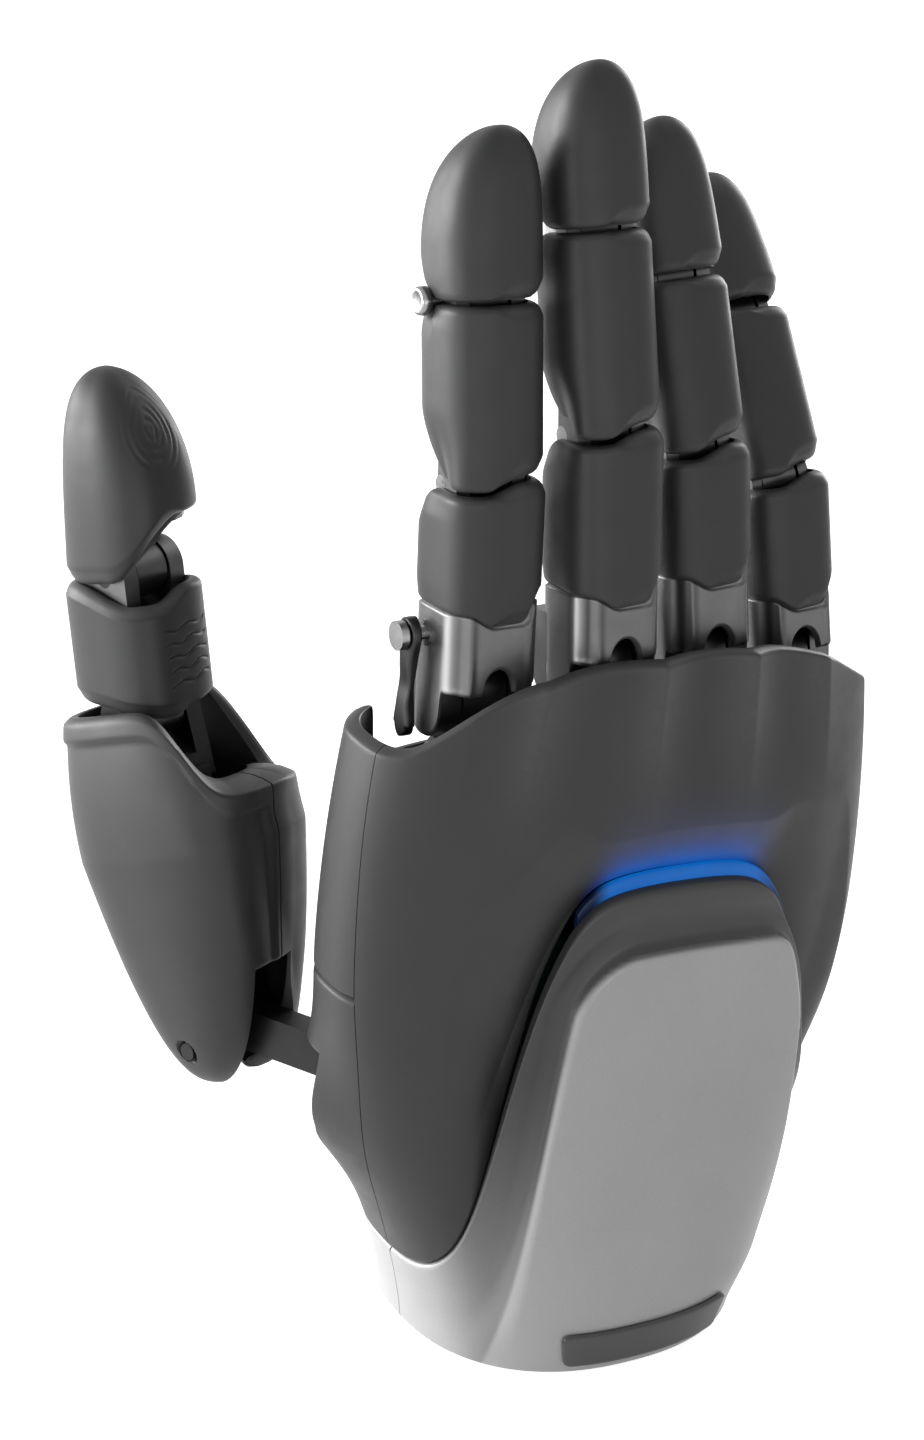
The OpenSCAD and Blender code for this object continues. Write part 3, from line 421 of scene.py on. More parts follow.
# ---- palm
PALM_W, WIDE_Z, WRIST_W, WRIST_D = 93.0, 70.0, 57.2, 52.0
BACK_D, FRONT_D, RIM_Z, RIM_HALF = 17.5, 17.0, 117.0, 41.5
RIM_DROP, EDGE_Z, WALL, GAP = 13.0, 102.5, 2.0, 0.3
THENAR, THENAR_Z = 5.5, 39.0
SIDE_TURN, BACK_END, HOUSING_TURN, HALF_SEAM, SEAM_Z = 182.0, 358.0, 112.0, 0.4, 64.0
COVER_TOP, CUFF_LOW, CUFF_HIGH, FRONT_RIM = 81.6, 15.5, 28.0, 94.5
COVER_FOOT, SLEEVE_FOOT, CROWN_TURN = 0.34, 0.5, 272.0
LIGHT_W, LIGHT_TURNS, PLATEAU = 1.6, (254.0, 306.0), 1.8
BACK_ROWS, BACK_COLS = 150, 300
# How strongly the rows of a sheet are drawn towards its two edges.
ROWS_DRAWN = 0.09


def grow(z):
    """sin(90 z/70)^1.4 up to the palm's widest place, 1 above it."""
    return np.sin(np.pi / 2.0 * clamp(z / WIDE_Z)) ** 1.4


def palm_half(z):
    """Wrist half width + grow(z) of the difference, less a quadratic taper to the rim and 0.02."""
    taper = (PALM_W / 2.0 - RIM_HALF) * (above(z - WIDE_Z) / (RIM_Z - WIDE_Z)) ** 2
    return WRIST_W / 2.0 + (PALM_W - WRIST_W) / 2.0 * grow(z) - taper - 0.02


def palm_deep(side, z):
    """Half depth from the wrist's to that of the side, as grow(z)."""
    return WRIST_D / 2.0 + (side - WRIST_D / 2.0) * grow(z)


def palm_point(turn, z, off):
    """The palm's superellipse, exponent 2.3 + 0.35 grow(z), with the thumb's bulge, off inwards."""
    back, front = palm_deep(BACK_D, z) - off, palm_deep(FRONT_D, z) - off
    x, y = oval(turn, palm_half(z) - off, back, front, 2.3 + 0.35 * grow(z))
    bulge = THENAR * bell((turn - 158.0) / 27.0) * bell((z - THENAR_Z) / 11.5)
    return stack(x + bulge * np.cos(np.radians(turn)), y + bulge * np.sin(np.radians(turn)), z)


def side_x(turn, z):
    """x of the palm's outline, its exponent held at 2.6."""
    return oval(turn, palm_half(z), 1.0, 1.0, 2.6)[0]


def back_rim(turn):
    """Rim height less 13 (|x|/half)^3.5."""
    return RIM_Z - RIM_DROP * (np.abs(side_x(turn, EDGE_Z)) / palm_half(EDGE_Z)) ** 3.5


def front_rim(turn):
    """Low under the fingers, stepped up beside them to meet the back rim's ends."""
    x, half = side_x(turn, EDGE_Z), palm_half(EDGE_Z)
    low = RIM_Z - RIM_DROP
    thumb_side = (low - FRONT_RIM) * ease((-x - 33.5) / 3.5)
    far_side = (low - FRONT_RIM) * ease((np.abs(x) / half - 0.88) / 0.12)
    return FRONT_RIM + np.where(x < -30.0, thumb_side, np.where(x > 0.0, far_side, 0.0))


def crown(turn):
    """Height of the cover's top edge: a parabola, highest at the crown's turn."""
    return COVER_TOP - 1.8 - 1.5 * ((turn - CROWN_TURN) / 25.0) ** 2


def soft_top(k):
    """k / (1 + k^8)^(1/8): a straight climb that levels out at 1."""
    return k / (1.0 + k ** 8) ** 0.125


def cover_edge(turn):
    """The silver cover's edge: a cubic climb to the crown, and down again to the sleeve."""
    climb = soft_top(1.13 * (np.clip(turn - SIDE_TURN, 0.0, 200.0) / 74.0) ** 3)
    fall = soft_top(1.21 * (np.clip(BACK_END - turn, 0.0, 200.0) / 63.0) ** 2.3)
    left = CUFF_LOW + (crown(turn) - CUFF_LOW) * climb
    right = CUFF_HIGH + (crown(turn) - CUFF_HIGH) * fall
    return np.where(turn < CROWN_TURN, left, right)


def sleeve_edge(turn):
    """The wrist sleeve's top, from the low cuff to the high one as ((1 + cos turn) / 2)^2."""
    return CUFF_LOW + (CUFF_HIGH - CUFF_LOW) * ((1.0 + np.cos(np.radians(turn))) / 2.0) ** 2


def swung(turn, z):
    """The thumb side's seam moves 20 degrees towards the back at mid height."""
    rise = ease(z / 60.0) * (1.0 - 0.3 * ease((z - 60.0) / 50.0))
    return turn + 20.0 * rise * bell((turn - SIDE_TURN) / 35.0)


def edge_distance(turns, edge, z):
    """Distance across the cover's edge: the height above it / sqrt(1 + slope^2)."""
    foot = palm_point(turns, edge, 0.0)[:, :2]
    along = np.concatenate([[0.0], np.cumsum(np.linalg.norm(np.diff(foot, axis=0), axis=1))])
    slope = np.gradient(edge, along)
    return (z - edge) / np.sqrt(1.0 + slope ** 2)


def inside_field(turn, z):
    """Distance inside the cover's raised field, a rectangle in (x, z) with rounded corners."""
    x = side_x(turn, z)
    top = crown(turn) - 9.6 - z
    left, right = x + 9.0 + 0.19 * (COVER_TOP - z), 30.6 - x
    r = 9.5
    beyond = np.hypot(above(r - top), above(r - np.minimum(left, right)))
    return np.minimum(r - beyond, np.minimum(np.minimum(top, left), right))


def cover_lift(turn, z):
    """The field stands proud of the cover; its slope is steep at the top and soft near the wrist."""
    inside = inside_field(turn, z)
    width = 2.2 + 5.0 * ease((40.0 - z) / 40.0)
    turns = turn[0] if turn.ndim == 2 else turn
    room = ease(-edge_distance(turns, cover_edge(turns), z) / 3.6 - 0.15)
    return PLATEAU * ease(inside / width + 0.5) * ease(z / 12.0) * room


def cover_form(turn, z):
    """The cover's field, less a shallow trough that follows the field's foot."""
    inside = inside_field(turn, z)
    trough = 0.55 * bell((inside + 3.4) / 2.2) * ease((z - 8.0) / 30.0)
    return cover_lift(turn, z) - trough


def recess(turn, z):
    """The shell dips towards the cover's edge: 3.3 (1 - d/8)^1.08, shallower near the wrist."""
    edge = cover_edge(turn[0])
    across = edge_distance(turn[0], edge, z) - LIGHT_W - GAP
    return 3.3 * clamp(1.0 - across / 8.0) ** 1.08 * ease((edge - 20.0) / 26.0)


RIDGE_TURNS = (222.0, 240.0, 267.0, 289.3, 309.5, 332.0)
VALLEY_DEPTHS = (0.5, 1.9, 2.0, 1.8, 0.8)


def flutes(turn, z):
    """Valleys between ridges below the knuckles: depth sin(pi u)^0.9, fading in up to the rim."""
    sunk = 0.0 * turn
    for start, end, depth in zip(RIDGE_TURNS, RIDGE_TURNS[1:], VALLEY_DEPTHS):
        u = clamp((turn - start) / (end - start))
        sunk = sunk + depth * np.sin(np.pi * u) ** 0.9
    return sunk * ease((z - 88.0) / 24.0)


def shell_form(turn, z):
    """The shell lies below the palm's surface by its flutes and its dip."""
    return -flutes(turn, z) - recess(turn, z)


def palm_sheet(turns, foot, top, rows, lift, roll=0.9):
    """Outer and inner grids of the palm's surface between two heights, rounded along both edges."""
    turn = turns[None, :]
    share = shares(rows)
    share = share - ROWS_DRAWN * np.sin(2.0 * np.pi * share)
    z = foot + (top - foot) * clamp(share)
    bent = swung(turn, z)
    near = np.minimum(z - foot, top - z)
    raised = lift(turn, z)
    outer = palm_point(bent, z, rolled(near, roll) * 0.8 - raised)
    return outer, palm_point(bent, z, WALL + above(-raised) * 0.8)


def flat(turn, z):
    return 0.0 * z


def add_sheet(name, slot, finish, nodes, *sheet):
    """A piece of the palm's surface."""
    mesh = shell_mesh(name, *palm_sheet(*sheet))
    dress(mesh, "palm", slot, finish, *nodes)
    return mesh


def make_palm():
    back = np.linspace(SIDE_TURN, BACK_END, BACK_COLS)
    front = np.linspace(BACK_END - 360.0 + HALF_SEAM, SIDE_TURN - HALF_SEAM, 220)
    heel = front[front < HOUSING_TURN - HALF_SEAM]
    edge, zero = cover_edge(back), 0.0 * front
    slot = LIGHT_W * ease((back - 242.0) / 6.0) * ease((314.0 - back) / 6.0)
    add_painted_light_and_shade(add_sheet("palm_back_shell_skin", "dark_plastic", "painted_light_spill", ["palm_back_shell"],
                       back, edge + slot + GAP, back_rim(back), BACK_ROWS, shell_form))
    add_sheet("palm_front_shell_skin", "dark_plastic", "shell", ["palm_front_shell"],
              front, zero + SEAM_Z + GAP / 2.0, front_rim(front), 60, flat)
    add_sheet("palm_heel_skin", "dark_plastic", "shell", ["palm_heel_cover"],
              heel, sleeve_edge(heel) + GAP, 0.0 * heel + SEAM_Z - GAP / 2.0, 70, flat)
    add_painted_border_shade(add_sheet("back_cover_skin", "silver_plastic", "silver", ["back_cover"],
                        back, 0.0 * edge + COVER_FOOT, edge, 150, cover_form, 1.3))
    add_sheet("wrist_sleeve_skin", "silver_plastic", "silver", ["wrist_sleeve"],
              front, zero + SLEEVE_FOOT, sleeve_edge(front), 44, flat)
    make_housing()
    make_light()
    make_plate()


def palm_place(mesh):
    """Turn, height and y of each point of a palm piece."""
    points = np.zeros(len(mesh.vertices) * 3, np.float32)
    mesh.vertices.foreach_get("co", points)
    x, y, z = points.reshape(-1, 3).astype(float).T / MM
    turn = np.degrees(np.arctan2(y / palm_deep(BACK_D, z), x / palm_half(z))) % 360.0
    return turn, z, y


def add_painted_light_and_shade(mesh):
    """Painted light and shade on the back shell, per point: painted blue spill exp(-(h/6)^1.6) above the light,
    times a window; painted shade in the dip by the cover; painted highlights on the ridges and the brim.
    """
    turn, z, y = palm_place(mesh)
    # Painted light spill: emission on the shell just above the light strip.
    height = above(z - cover_edge(turn) - LIGHT_W)
    window = ease((turn - 251.0) / 12.0) * ease((307.0 - turn) / 12.0)
    outside = np.arange(len(z)) // BACK_COLS < BACK_ROWS + EDGE_ROWS
    carry(mesh, "glow_and_painted_spill", np.exp(-(height / 6.0) ** 1.6) * window * outside * (y < 0.0))
    # Painted shade: darker in the dip beside the cover's edge, weaker where the spill is painted.
    across = height / (1.0 + 0.035 * np.abs(turn - 277.0))
    dip = clamp(1.0 - across / 7.0) ** 1.3 * ease((cover_edge(turn) - 22.0) / 30.0)
    carry(mesh, "painted_shade", 0.8 * dip * (1.0 - 0.3 * window) * (y < 2.0))
    # Painted highlights: paler along the ridges below the knuckles and along the rim's brim.
    ridges = sum(bell((turn - t0) / 5.5) for t0 in RIDGE_TURNS[1:-1])
    rim = back_rim(turn)
    fade = ease((z - 84.0) / 26.0) * ease((rim + 0.8 - z) / 2.0)
    brim = bell((rim - z) / 0.8)
    carry(mesh, "wear_and_painted_highlight", clamp(0.8 * ridges * fade + 0.3 * brim) * (y < 4.0))


def add_painted_border_shade(mesh):
    """Painted shade on the cover's border: 1 outside the raised field, fading towards the wrist and at the edge's
    brim.
    """
    turn, z, y = palm_place(mesh)
    outside = 1.0 - ease((inside_field(turn, z) - 0.2) / 0.9)
    fade = 0.5 + 0.45 * ease((z - 8.0) / 46.0)
    brim = ease((turn - 204.0) / 24.0)
    # Painted shade, weaker towards the wrist, where the border is lit.
    carry(mesh, "painted_shade", outside * fade * brim * (y < 0.0))


WINDOW_Y, WINDOW_LOW, WINDOW_MID, WINDOW_HIGH = 7.5, 33.0, 44.0, 50.5


def make_housing():
    """The thumb's housing: the palm's surface below, above and beside a window for the thumb."""
    turns = np.linspace(HOUSING_TURN, SIDE_TURN - HALF_SEAM, 96)
    foot, top = sleeve_edge(turns) + GAP, SEAM_Z - GAP / 2.0 + 0.0 * turns
    y = palm_point(turns, 0.0 * turns + WINDOW_MID, 0.0)[:, 1]
    last = int(np.max(np.nonzero(y > WINDOW_Y)[0]))
    opening, beside = slice(0, last + 1), slice(last, len(turns))
    strips = (("thumb_housing_low", opening, foot, WINDOW_LOW + 0.0 * turns, 24, []),
              ("thumb_housing_high", opening, WINDOW_HIGH + 0.0 * turns, top, 20, []),
              ("thumb_housing_side", beside, foot, top, 70, ["thumb_housing"]))
    for name, span, start, end, rows, nodes in strips:
        add_sheet(name, "dark_plastic", "shell", nodes, turns[span], start[span], end[span], rows, flat)


def make_light():
    """The light strip between cover and shell, sunk 1.7 below the palm's surface."""
    turns = np.linspace(*LIGHT_TURNS, 140)
    foot = cover_edge(turns) + GAP / 2.0
    z = foot + np.linspace(0.0, LIGHT_W, 8)[:, None]
    bent = swung(turns[None, :], z)
    mesh = shell_mesh("light_strip_lens", palm_point(bent, z, 1.7), palm_point(bent, z, WALL + 1.2))
    turn = palm_place(mesh)[0]
    carry(mesh, "glow_and_painted_spill", ease((turn - 256.0) / 5.0) * ease((305.0 - turn) / 10.0))
    dress(mesh, "palm", "light_strip", "light", "light_strip")


PLATE_TURN, PLATE_HALF, PLATE_Z, PLATE_TALL, PLATE_CORNER = 274.0, 28.4, 5.2, 3.1, 2.6


def make_plate():
    """The bare name plate: a rounded rectangle bowed over the sleeve."""
    turn = np.linspace(PLATE_TURN - PLATE_HALF, PLATE_TURN + PLATE_HALF, 120)[None, :]
    beside = np.abs(turn - PLATE_TURN)
    corner = np.clip((beside - PLATE_HALF + PLATE_CORNER) / PLATE_CORNER, 0.0, 0.999)
    tall = PLATE_TALL - 1.2 * (1.0 - np.sqrt(1.0 - corner ** 2))
    z = PLATE_Z + tall * np.linspace(-1.0, 1.0, 24)[:, None]
    edge = np.minimum(tall - np.abs(z - PLATE_Z), (PLATE_HALF - beside) * 0.5)
    base = -cover_lift(turn, z) - 0.3
    outer = palm_point(turn, z + 0.0 * turn, base - 0.6 + rolled(edge, 0.5))
    mesh = shell_mesh("name_plate_blank", outer, palm_point(turn, z + 0.0 * turn, base))
    dress(mesh, "palm", "plate_grey", "plate", "name_plate")


# ---- fingers
WIDTH = {"index": 16.2, "middle": 15.4, "ring": 15.4, "little": 14.6}
HALF_DEPTH, SHIFT, COVER_WALL, HALF_GAP, SQUARE, BOXY = 7.9, 2.2, 1.5, 0.35, 2.8, 3.5
PAD_Y, EDGE_ROLL = HALF_DEPTH - SHIFT, 1.0
SKIRT_Z = {"index": 14.4, "middle": 12.6, "ring": 14.0, "little": 10.8}
TIP_BEND = {"index": 1.0, "middle": 1.0, "ring": 4.0, "little": 9.0, "thumb": 6.0}
TIP_LENGTH = {"index": 24.6, "middle": 23.7, "ring": 23.4, "little": 22.0}
# How far the covers are cut back at the pad: base cover's top, middle cover's foot and top, tip's foot.
BASE_CUT, MIDDLE_FOOT_CUT, MIDDLE_TOP_CUT, TIP_CUT, BUTTON_CUT = 4.8, 10.0, 4.0, 5.0, 1.9


def position(joint):
    return np.array(JOINTS[joint]["pos_m"]) / MM


def link_frame(joint, toward, sideways):
    """Columns x, y, z of a link: z from its joint towards the next, x along the joint's axis."""
    origin = position(joint)
    x = unit(sideways * np.array(JOINTS[joint]["axis"], float))
    z = unit(position(toward) - origin)
    y = np.cross(z, x)
    return origin, np.stack([x, y, z], 1)


def bent_on(axes, origin, angle):
    """The next link's axes, bent by an angle in degrees towards the pad."""
    a = math.radians(-angle)
    turn = np.array([[1, 0, 0], [0, math.cos(a), -math.sin(a)], [0, math.sin(a), math.cos(a)]])
    return origin, axes @ turn


def placed(points, link):
    """Points in a link's own axes, carried to the hand's."""
    origin, axes = link
    return points @ axes.T + origin


def cover_rows(low, high, spacing):
    """Heights of a cover's rows, and each row's distance from its foot and from its top."""
    bend = 1.0 - np.cos(np.linspace(0.0, np.pi / 2.0, 6))
    count = int(np.max(high - low) / spacing)
    share = np.linspace(0.0, 1.0, count)[1:-1, None]
    foot = low + EDGE_ROLL * bend[:, None]
    top = high - EDGE_ROLL * bend[::-1, None]
    middle = foot[-1] + (top[0] - foot[-1]) * share
    z = np.concatenate([foot, middle, top])
    return z, z - low, high - z


def soft_corner(y, start, end):
    """0 before start, then u^2 (2 - u), reaching 1 at end."""
    u = clamp((y - start) / (end - start))
    return u * u * (2.0 - u)


def cover_bands(x, half, from_foot, from_top):
    """Bevels along both edges, wide on the far side and gone on the thumb's side."""
    wide = ease((x / half + 0.5) / 0.75)
    low = 1.05 * clamp(1.0 - from_foot / (2.6 * wide + 0.01))
    top = 0.75 * clamp(1.0 - from_top / (1.9 * wide + 0.01))
    return (low + top) * ease(wide * 2.0)


def finger_turns(count=220):
    return np.linspace(0.0, 360.0, count, endpoint=False)[None, :]


def plain_cover(turn, z, from_foot, from_top):
    """No carving; every carving of a cover takes these four and gives a depth."""
    return 0.0 * z + 0.0 * turn


def add_cover(part, link, maker, outer, inner, wear_and_painted_highlight):
    """A dark cover on a link, from grids in the link's own axes."""
    mesh = maker(part + "_skin", placed(outer, link), placed(inner, link), wear_and_painted_highlight)
    dress(mesh, part, "dark_plastic", "cover", part + "_cover")


def finger_outline(finger, square):
    """A finger cover's size, its turns, and its section there about the link's axis."""
    size = (WIDTH[finger] / 2.0, HALF_DEPTH, SHIFT, COVER_WALL, square)
    turn = finger_turns()
    x, y = oval(turn, size[0], HALF_DEPTH, HALF_DEPTH, square)
    return size, turn, x, y - SHIFT


def tube_cover(size, low, high, turn, spacing, carve):
    """Outer, inner and wear grids of a cover: oval section, rounded edges, bevels and carving."""
    half, depth, shift, wall, square = size
    z, from_foot, from_top = cover_rows(low, high, spacing)
    bevel = cover_bands(oval(turn, half, depth, depth, square)[0], half, from_foot, from_top)
    carved = carve(turn, z, from_foot, from_top)
    fall = rolled(np.minimum(from_foot, from_top), EDGE_ROLL) * 0.9 + bevel + carved
    grids = []
    for inset in (fall, wall + 0.55 * bevel + 0.8 * carved):
        x, y = oval(turn, half - inset, depth - inset, depth - inset, square)
        grids.append(stack(x, y - shift, z))
    return *grids, edge_wear(bevel, from_foot, from_top)


def edge_wear(bevel, from_foot, from_top):
    """Bevels and the last half millimetre of an edge are rubbed paler."""
    near = np.minimum(from_foot, from_top)
    return clamp(0.5 * ease(bevel / 0.35) + 0.35 * bell(near / 0.6))


def pad_side(turn):
    """1 on the pad and on the thumb's side corner beside it, 0 on the back and the far side."""
    return ease((turn - 60.0) / 50.0) * ease((222.0 - turn) / 45.0)


def base_taper(turn, z, from_foot, from_top):
    """The thumb's side and pad draw in at both ends of the base cover."""
    ends = 0.25 * (1.0 - ease(from_foot / 4.0)) + 0.7 * (1.0 - ease(from_top / 4.0))
    return ends * pad_side(turn)


def middle_taper(turn, z, from_foot, from_top):
    """The pad bulges in the middle cover's upper part and draws in towards its foot."""
    foot = 2.5 * (1.0 - ease((z + 1.0) / 13.0))
    top = 0.4 * (1.0 - ease(from_top / 3.5))
    return (foot + top) * pad_side(turn)


def skirt_line(finger, x, y):
    """The base cover's lower edge: level, with a tongue down the back and an upturned far corner."""
    tongue = ease((x + 5.9) / 5.0) * (1.0 - 1.35 * ease((x - 3.8) / 3.0)) * ease((-y - 4.0) / 3.5)
    return SKIRT_Z[finger] + 0.2 - 2.3 * tongue


# How far both covers reach over the middle joint at the back, where the resting bend opens it.
REACH = {"index": 0.3, "middle": 0.35, "ring": 0.5, "little": 0.75}


def joint_wave(x, y):
    """The middle joint's edges rise towards the far side of the back, by 1.6 ease((x + 4)/8)."""
    return 1.6 * ease((x + 4.0) / 8.0) * ease((-y - 1.0) / 4.0)


def back_reach(finger, y):
    """The reach, growing straight with the depth behind the axis, in full from 10 on."""
    return REACH[finger] * clamp(-y / 10.0)


def base_cover(finger, length, link):
    """From the skirt's tongue to the middle joint, cut back at the pad."""
    size, turn, x, y = finger_outline(finger, BOXY)
    high = length - HALF_GAP - (BASE_CUT - HALF_GAP) * soft_corner(y, 0.0, PAD_Y)
    high = high + joint_wave(x, y) + back_reach(finger, y)
    grids = tube_cover(size, skirt_line(finger, x, y), high, turn, 0.5, base_taper)
    add_cover(finger + "_prox", link, ring_mesh, *grids)


HOOD_SIDE, HOOD_EYE, HOOD_WALL, HOOD_BACK, HOOD_FRONT, HOOD_SQUARE = 0.24, 5.6, 0.9, 7.35, 6.2, 5.0
ARCH_TALL, ARCH_HALF, FLUTE_DEPTH = 3.7, 2.8, 0.72
# Strength, turn and width of the bands that run up the hood: flutes, their ridges, painted highlights and painted
# shade.
FLUTES = ((1.0, 222.0, 9.5), (1.0, 318.0, 9.5))
FLUTE_RIDGES = ((0.25, 238.0, 3.5), (0.25, 302.0, 3.5))
PAINTED_HIGHLIGHTS = ((0.85, 213.0, 5.0), (0.6, 327.0, 5.0))
SHADED = ((0.75, 224.5, 5.0), (0.6, 240.0, 3.5), (0.6, 315.5, 5.0), (0.5, 300.0, 3.5))


def bands(turn, rows):
    """Sum of strength exp(-((turn - middle) / width)^2)."""
    return sum(strength * bell((turn - middle) / width) for strength, middle, width in rows)


def base_hood(finger, link):
    """Alloy hood round the base's back: boss, two corner flutes, round cheeks, arch at the bottom."""
    half = WIDTH[finger] / 2.0 - HOOD_SIDE
    turn = np.linspace(146.0, 394.0, 300)[None, :]
    x, y = oval(turn, half, HOOD_BACK, HOOD_FRONT, HOOD_SQUARE)
    y = y - SHIFT
    cheek = -chord(HOOD_EYE, y)
    corner = 2.4 * ease((-y - HOOD_EYE + 0.5) / 0.9)
    arch = ARCH_TALL * np.sqrt(above(1.0 - (x / ARCH_HALF) ** 2)) * (y < -6.0)
    low = cheek + corner + arch
    skirt = skirt_line(finger, x, y)
    share = shares(50)
    z = low + (skirt + 0.5 - low) * (share - 0.1 * np.sin(2.0 * np.pi * share))
    deep = ease((z + 1.0) / 5.0)
    flute = FLUTE_DEPTH * bands(turn, FLUTES) * deep
    fall = flute - bands(turn, FLUTE_RIDGES) * deep + rolled(z - low, 0.7) * 0.8
    fall = fall + 0.45 * ease((z - skirt + 0.15) / 0.5)
    sunk = HOOD_WALL + flute
    grids = []
    for inset in (fall, sunk):
        x, y = oval(turn, half - inset, HOOD_BACK - inset, HOOD_FRONT - inset, HOOD_SQUARE)
        grids.append(placed(stack(x, y - SHIFT, z), link))
    mesh = shell_mesh(finger + "_base_hood", *grids)
    # Painted highlights on the cheeks and painted shade beside the flutes, for the alloy's finish.
    for name, rows in (("wear_and_painted_highlight", PAINTED_HIGHLIGHTS), ("painted_shade", SHADED)):
        carry_rows(mesh, name, clamp(bands(turn, rows)) + 0.0 * z)
    dress(mesh, finger + "_prox", "frame_metal", "hood")


def middle_cover(finger, length, link):
    """Between the middle and end joints, cut back at the pad, and round the index's pin button."""
    size, turn, x, y = finger_outline(finger, SQUARE)
    low = HALF_GAP + (MIDDLE_FOOT_CUT - HALF_GAP) * soft_corner(y, -2.4, PAD_Y)
    low = low + joint_wave(x, y) - back_reach(finger, y)
    high = length - HALF_GAP - (MIDDLE_TOP_CUT - HALF_GAP) * soft_corner(y, 0.0, PAD_Y)
    if finger == "index":
        high = high - chord(BUTTON_CUT, y) * (x < 0.0)
    grids = tube_cover(size, low, high, turn, 0.5, middle_taper)
    add_cover(finger + "_mid", link, ring_mesh, *grids)


NO_TOP = 99.0


def tip_grid(size, length, apex, lean, powers, foot, inset, carve, fine):
    """A domed tip whose back, sides and pad close on an apex near the back: sqrt(1 - u^p) each."""
    half, depth, shift = size
    turn = finger_turns(fine)
    edge = np.array([0.0, 0.004, 0.012, 0.025, 0.042])
    u = np.concatenate([edge, np.sin(np.linspace(0.06, np.pi / 2.0, 90))])[:, None]
    u = np.minimum(u, 0.99995)
    side, back, pad = (np.sqrt(1.0 - u ** p) for p in powers)
    x, y = oval(turn, (half - inset) * side, depth - inset, depth - inset, SQUARE)
    bottom, tilt = foot(x, y)
    start = bottom + tilt * (1.0 - u)
    z = start + (length - inset - start) * u
    rise = z - (bottom + tilt)
    fall = inset + 0.0 * z
    wear_and_painted_highlight = 0.0 * z
    if inset == 0.0:
        bevel = cover_bands(x, half, rise, NO_TOP + 0.0 * z) * (1.0 - ease(u * 2.0))
        fall = rolled(rise, EDGE_ROLL) * 0.9 + bevel + carve(turn, z, rise, 0.0 * z)
        wear_and_painted_highlight = edge_wear(bevel, rise, NO_TOP + rise)
    rear = -apex - (depth - apex - fall) * back
    front = -apex + (depth + apex - fall) * pad
    x, y = oval(turn, (half - fall) * side, (front - rear) / 2.0, (front - rear) / 2.0, SQUARE)
    return stack(x + lean * u ** 3, y + (front + rear) / 2.0 - shift, z), wear_and_painted_highlight


def tip_walls(carve, fine, *shape):
    """A tip's carved outer grid, the plain one a wall inside it, and the outer's wear."""
    outer, wear_and_painted_highlight = tip_grid(*shape, 0.0, carve, fine)
    return outer, tip_grid(*shape, COVER_WALL, plain_cover, fine)[0], wear_and_painted_highlight


def tip_cover(finger, link):
    """A finger's domed tip, leaning a little to the far side."""
    def foot(x, y):
        return HALF_GAP, TIP_CUT * ease(y / HALF_DEPTH)

    def taper(turn, z, from_foot, from_top):
        return 0.3 * (1.0 - ease(from_foot / 3.5)) * pad_side(turn)

    size = (WIDTH[finger] / 2.0, HALF_DEPTH, SHIFT)
    lean = 1.3 if finger == "index" else 0.5
    grids = tip_walls(taper, 170, size, TIP_LENGTH[finger], 3.7, lean, (3.7, 6.5, 2.6), foot)
    add_cover(finger + "_tip", link, dome_mesh, *grids)


def lathe(profile, link, count=72):
    """A turned part: (distance along x, radius) pairs swept round the link's x axis."""
    along, radius = np.array(profile, float).T[:, :, None]
    a = np.linspace(0.0, 2.0 * np.pi, count, endpoint=False)[None, :]
    return capped(placed(stack(along, radius * np.cos(a), radius * np.sin(a)), link))


def index_pin(link, length):
    """The index finger's end pin with its low button head, dished in the middle."""
    head = [(-9.3, 0.05), (-9.3, 1.15), (-9.42, 1.3), (-9.5, 1.5), (-9.45, 1.8), (-9.25, 2.02),
            (-8.9, 2.12), (-8.0, 2.12), (-7.85, 2.0), (-7.8, 1.6), (-7.8, 1.5)]
    shank = [(5.8, 1.5), (6.0, 1.35), (6.0, 0.05)]
    place = placed(np.array([0.0, 0.0, length]), link)
    mesh = mesh_from("index_end_button", *lathe(head + shank, (place, link[1])))
    dress(mesh, "index_mid", "pin_steel", "steel", "index_end_pin")


STUD_AT, ROD_X, ROD_L, ROD_BEND, EYE_R, END_R = (-7.4, -1.0, 10.5), -3.1, 14.0, 1.0, 2.6, 1.9


def index_rod(link):
    """The push rod: a bar whose centre line runs down and eases 1 forwards, with an eye at each end."""
    run = np.concatenate([-EYE_R * np.cos(np.linspace(0.02, 1.5, 14)), np.linspace(0.2, ROD_L, 60),
                          ROD_L + END_R * np.sin(np.linspace(0.1, 1.55, 12))])
    eye = chord(EYE_R, np.minimum(run, 0.0))
    end = chord(END_R, np.maximum(run - ROD_L, 0.0))
    waist = 1.7 + 0.9 * bell(run / 2.4) + 0.55 * bell((run - ROD_L) / 2.0)
    width = np.where(run < 0.0, eye, np.where(run > ROD_L, end, waist))[:, None]
    thick = 0.9 - 0.35 * bell((run[:, None] - 7.5) / 2.2)
    x, across = oval(finger_turns(64), thick, width, width, 4.0)
    forward = ROD_BEND * ease(run / ROD_L)
    tilt = np.gradient(forward, run)[:, None]
    norm = np.sqrt(1.0 + tilt ** 2)
    y = forward[:, None] + across / norm
    z = -run[:, None] + across * tilt / norm
    grid = placed(stack(x + ROD_X, y, z) + np.array(STUD_AT), link)
    mesh = mesh_from("index_push_rod", *capped(grid))
    dress(mesh, "index_link", "pin_steel", "dark_alloy", "index_link")


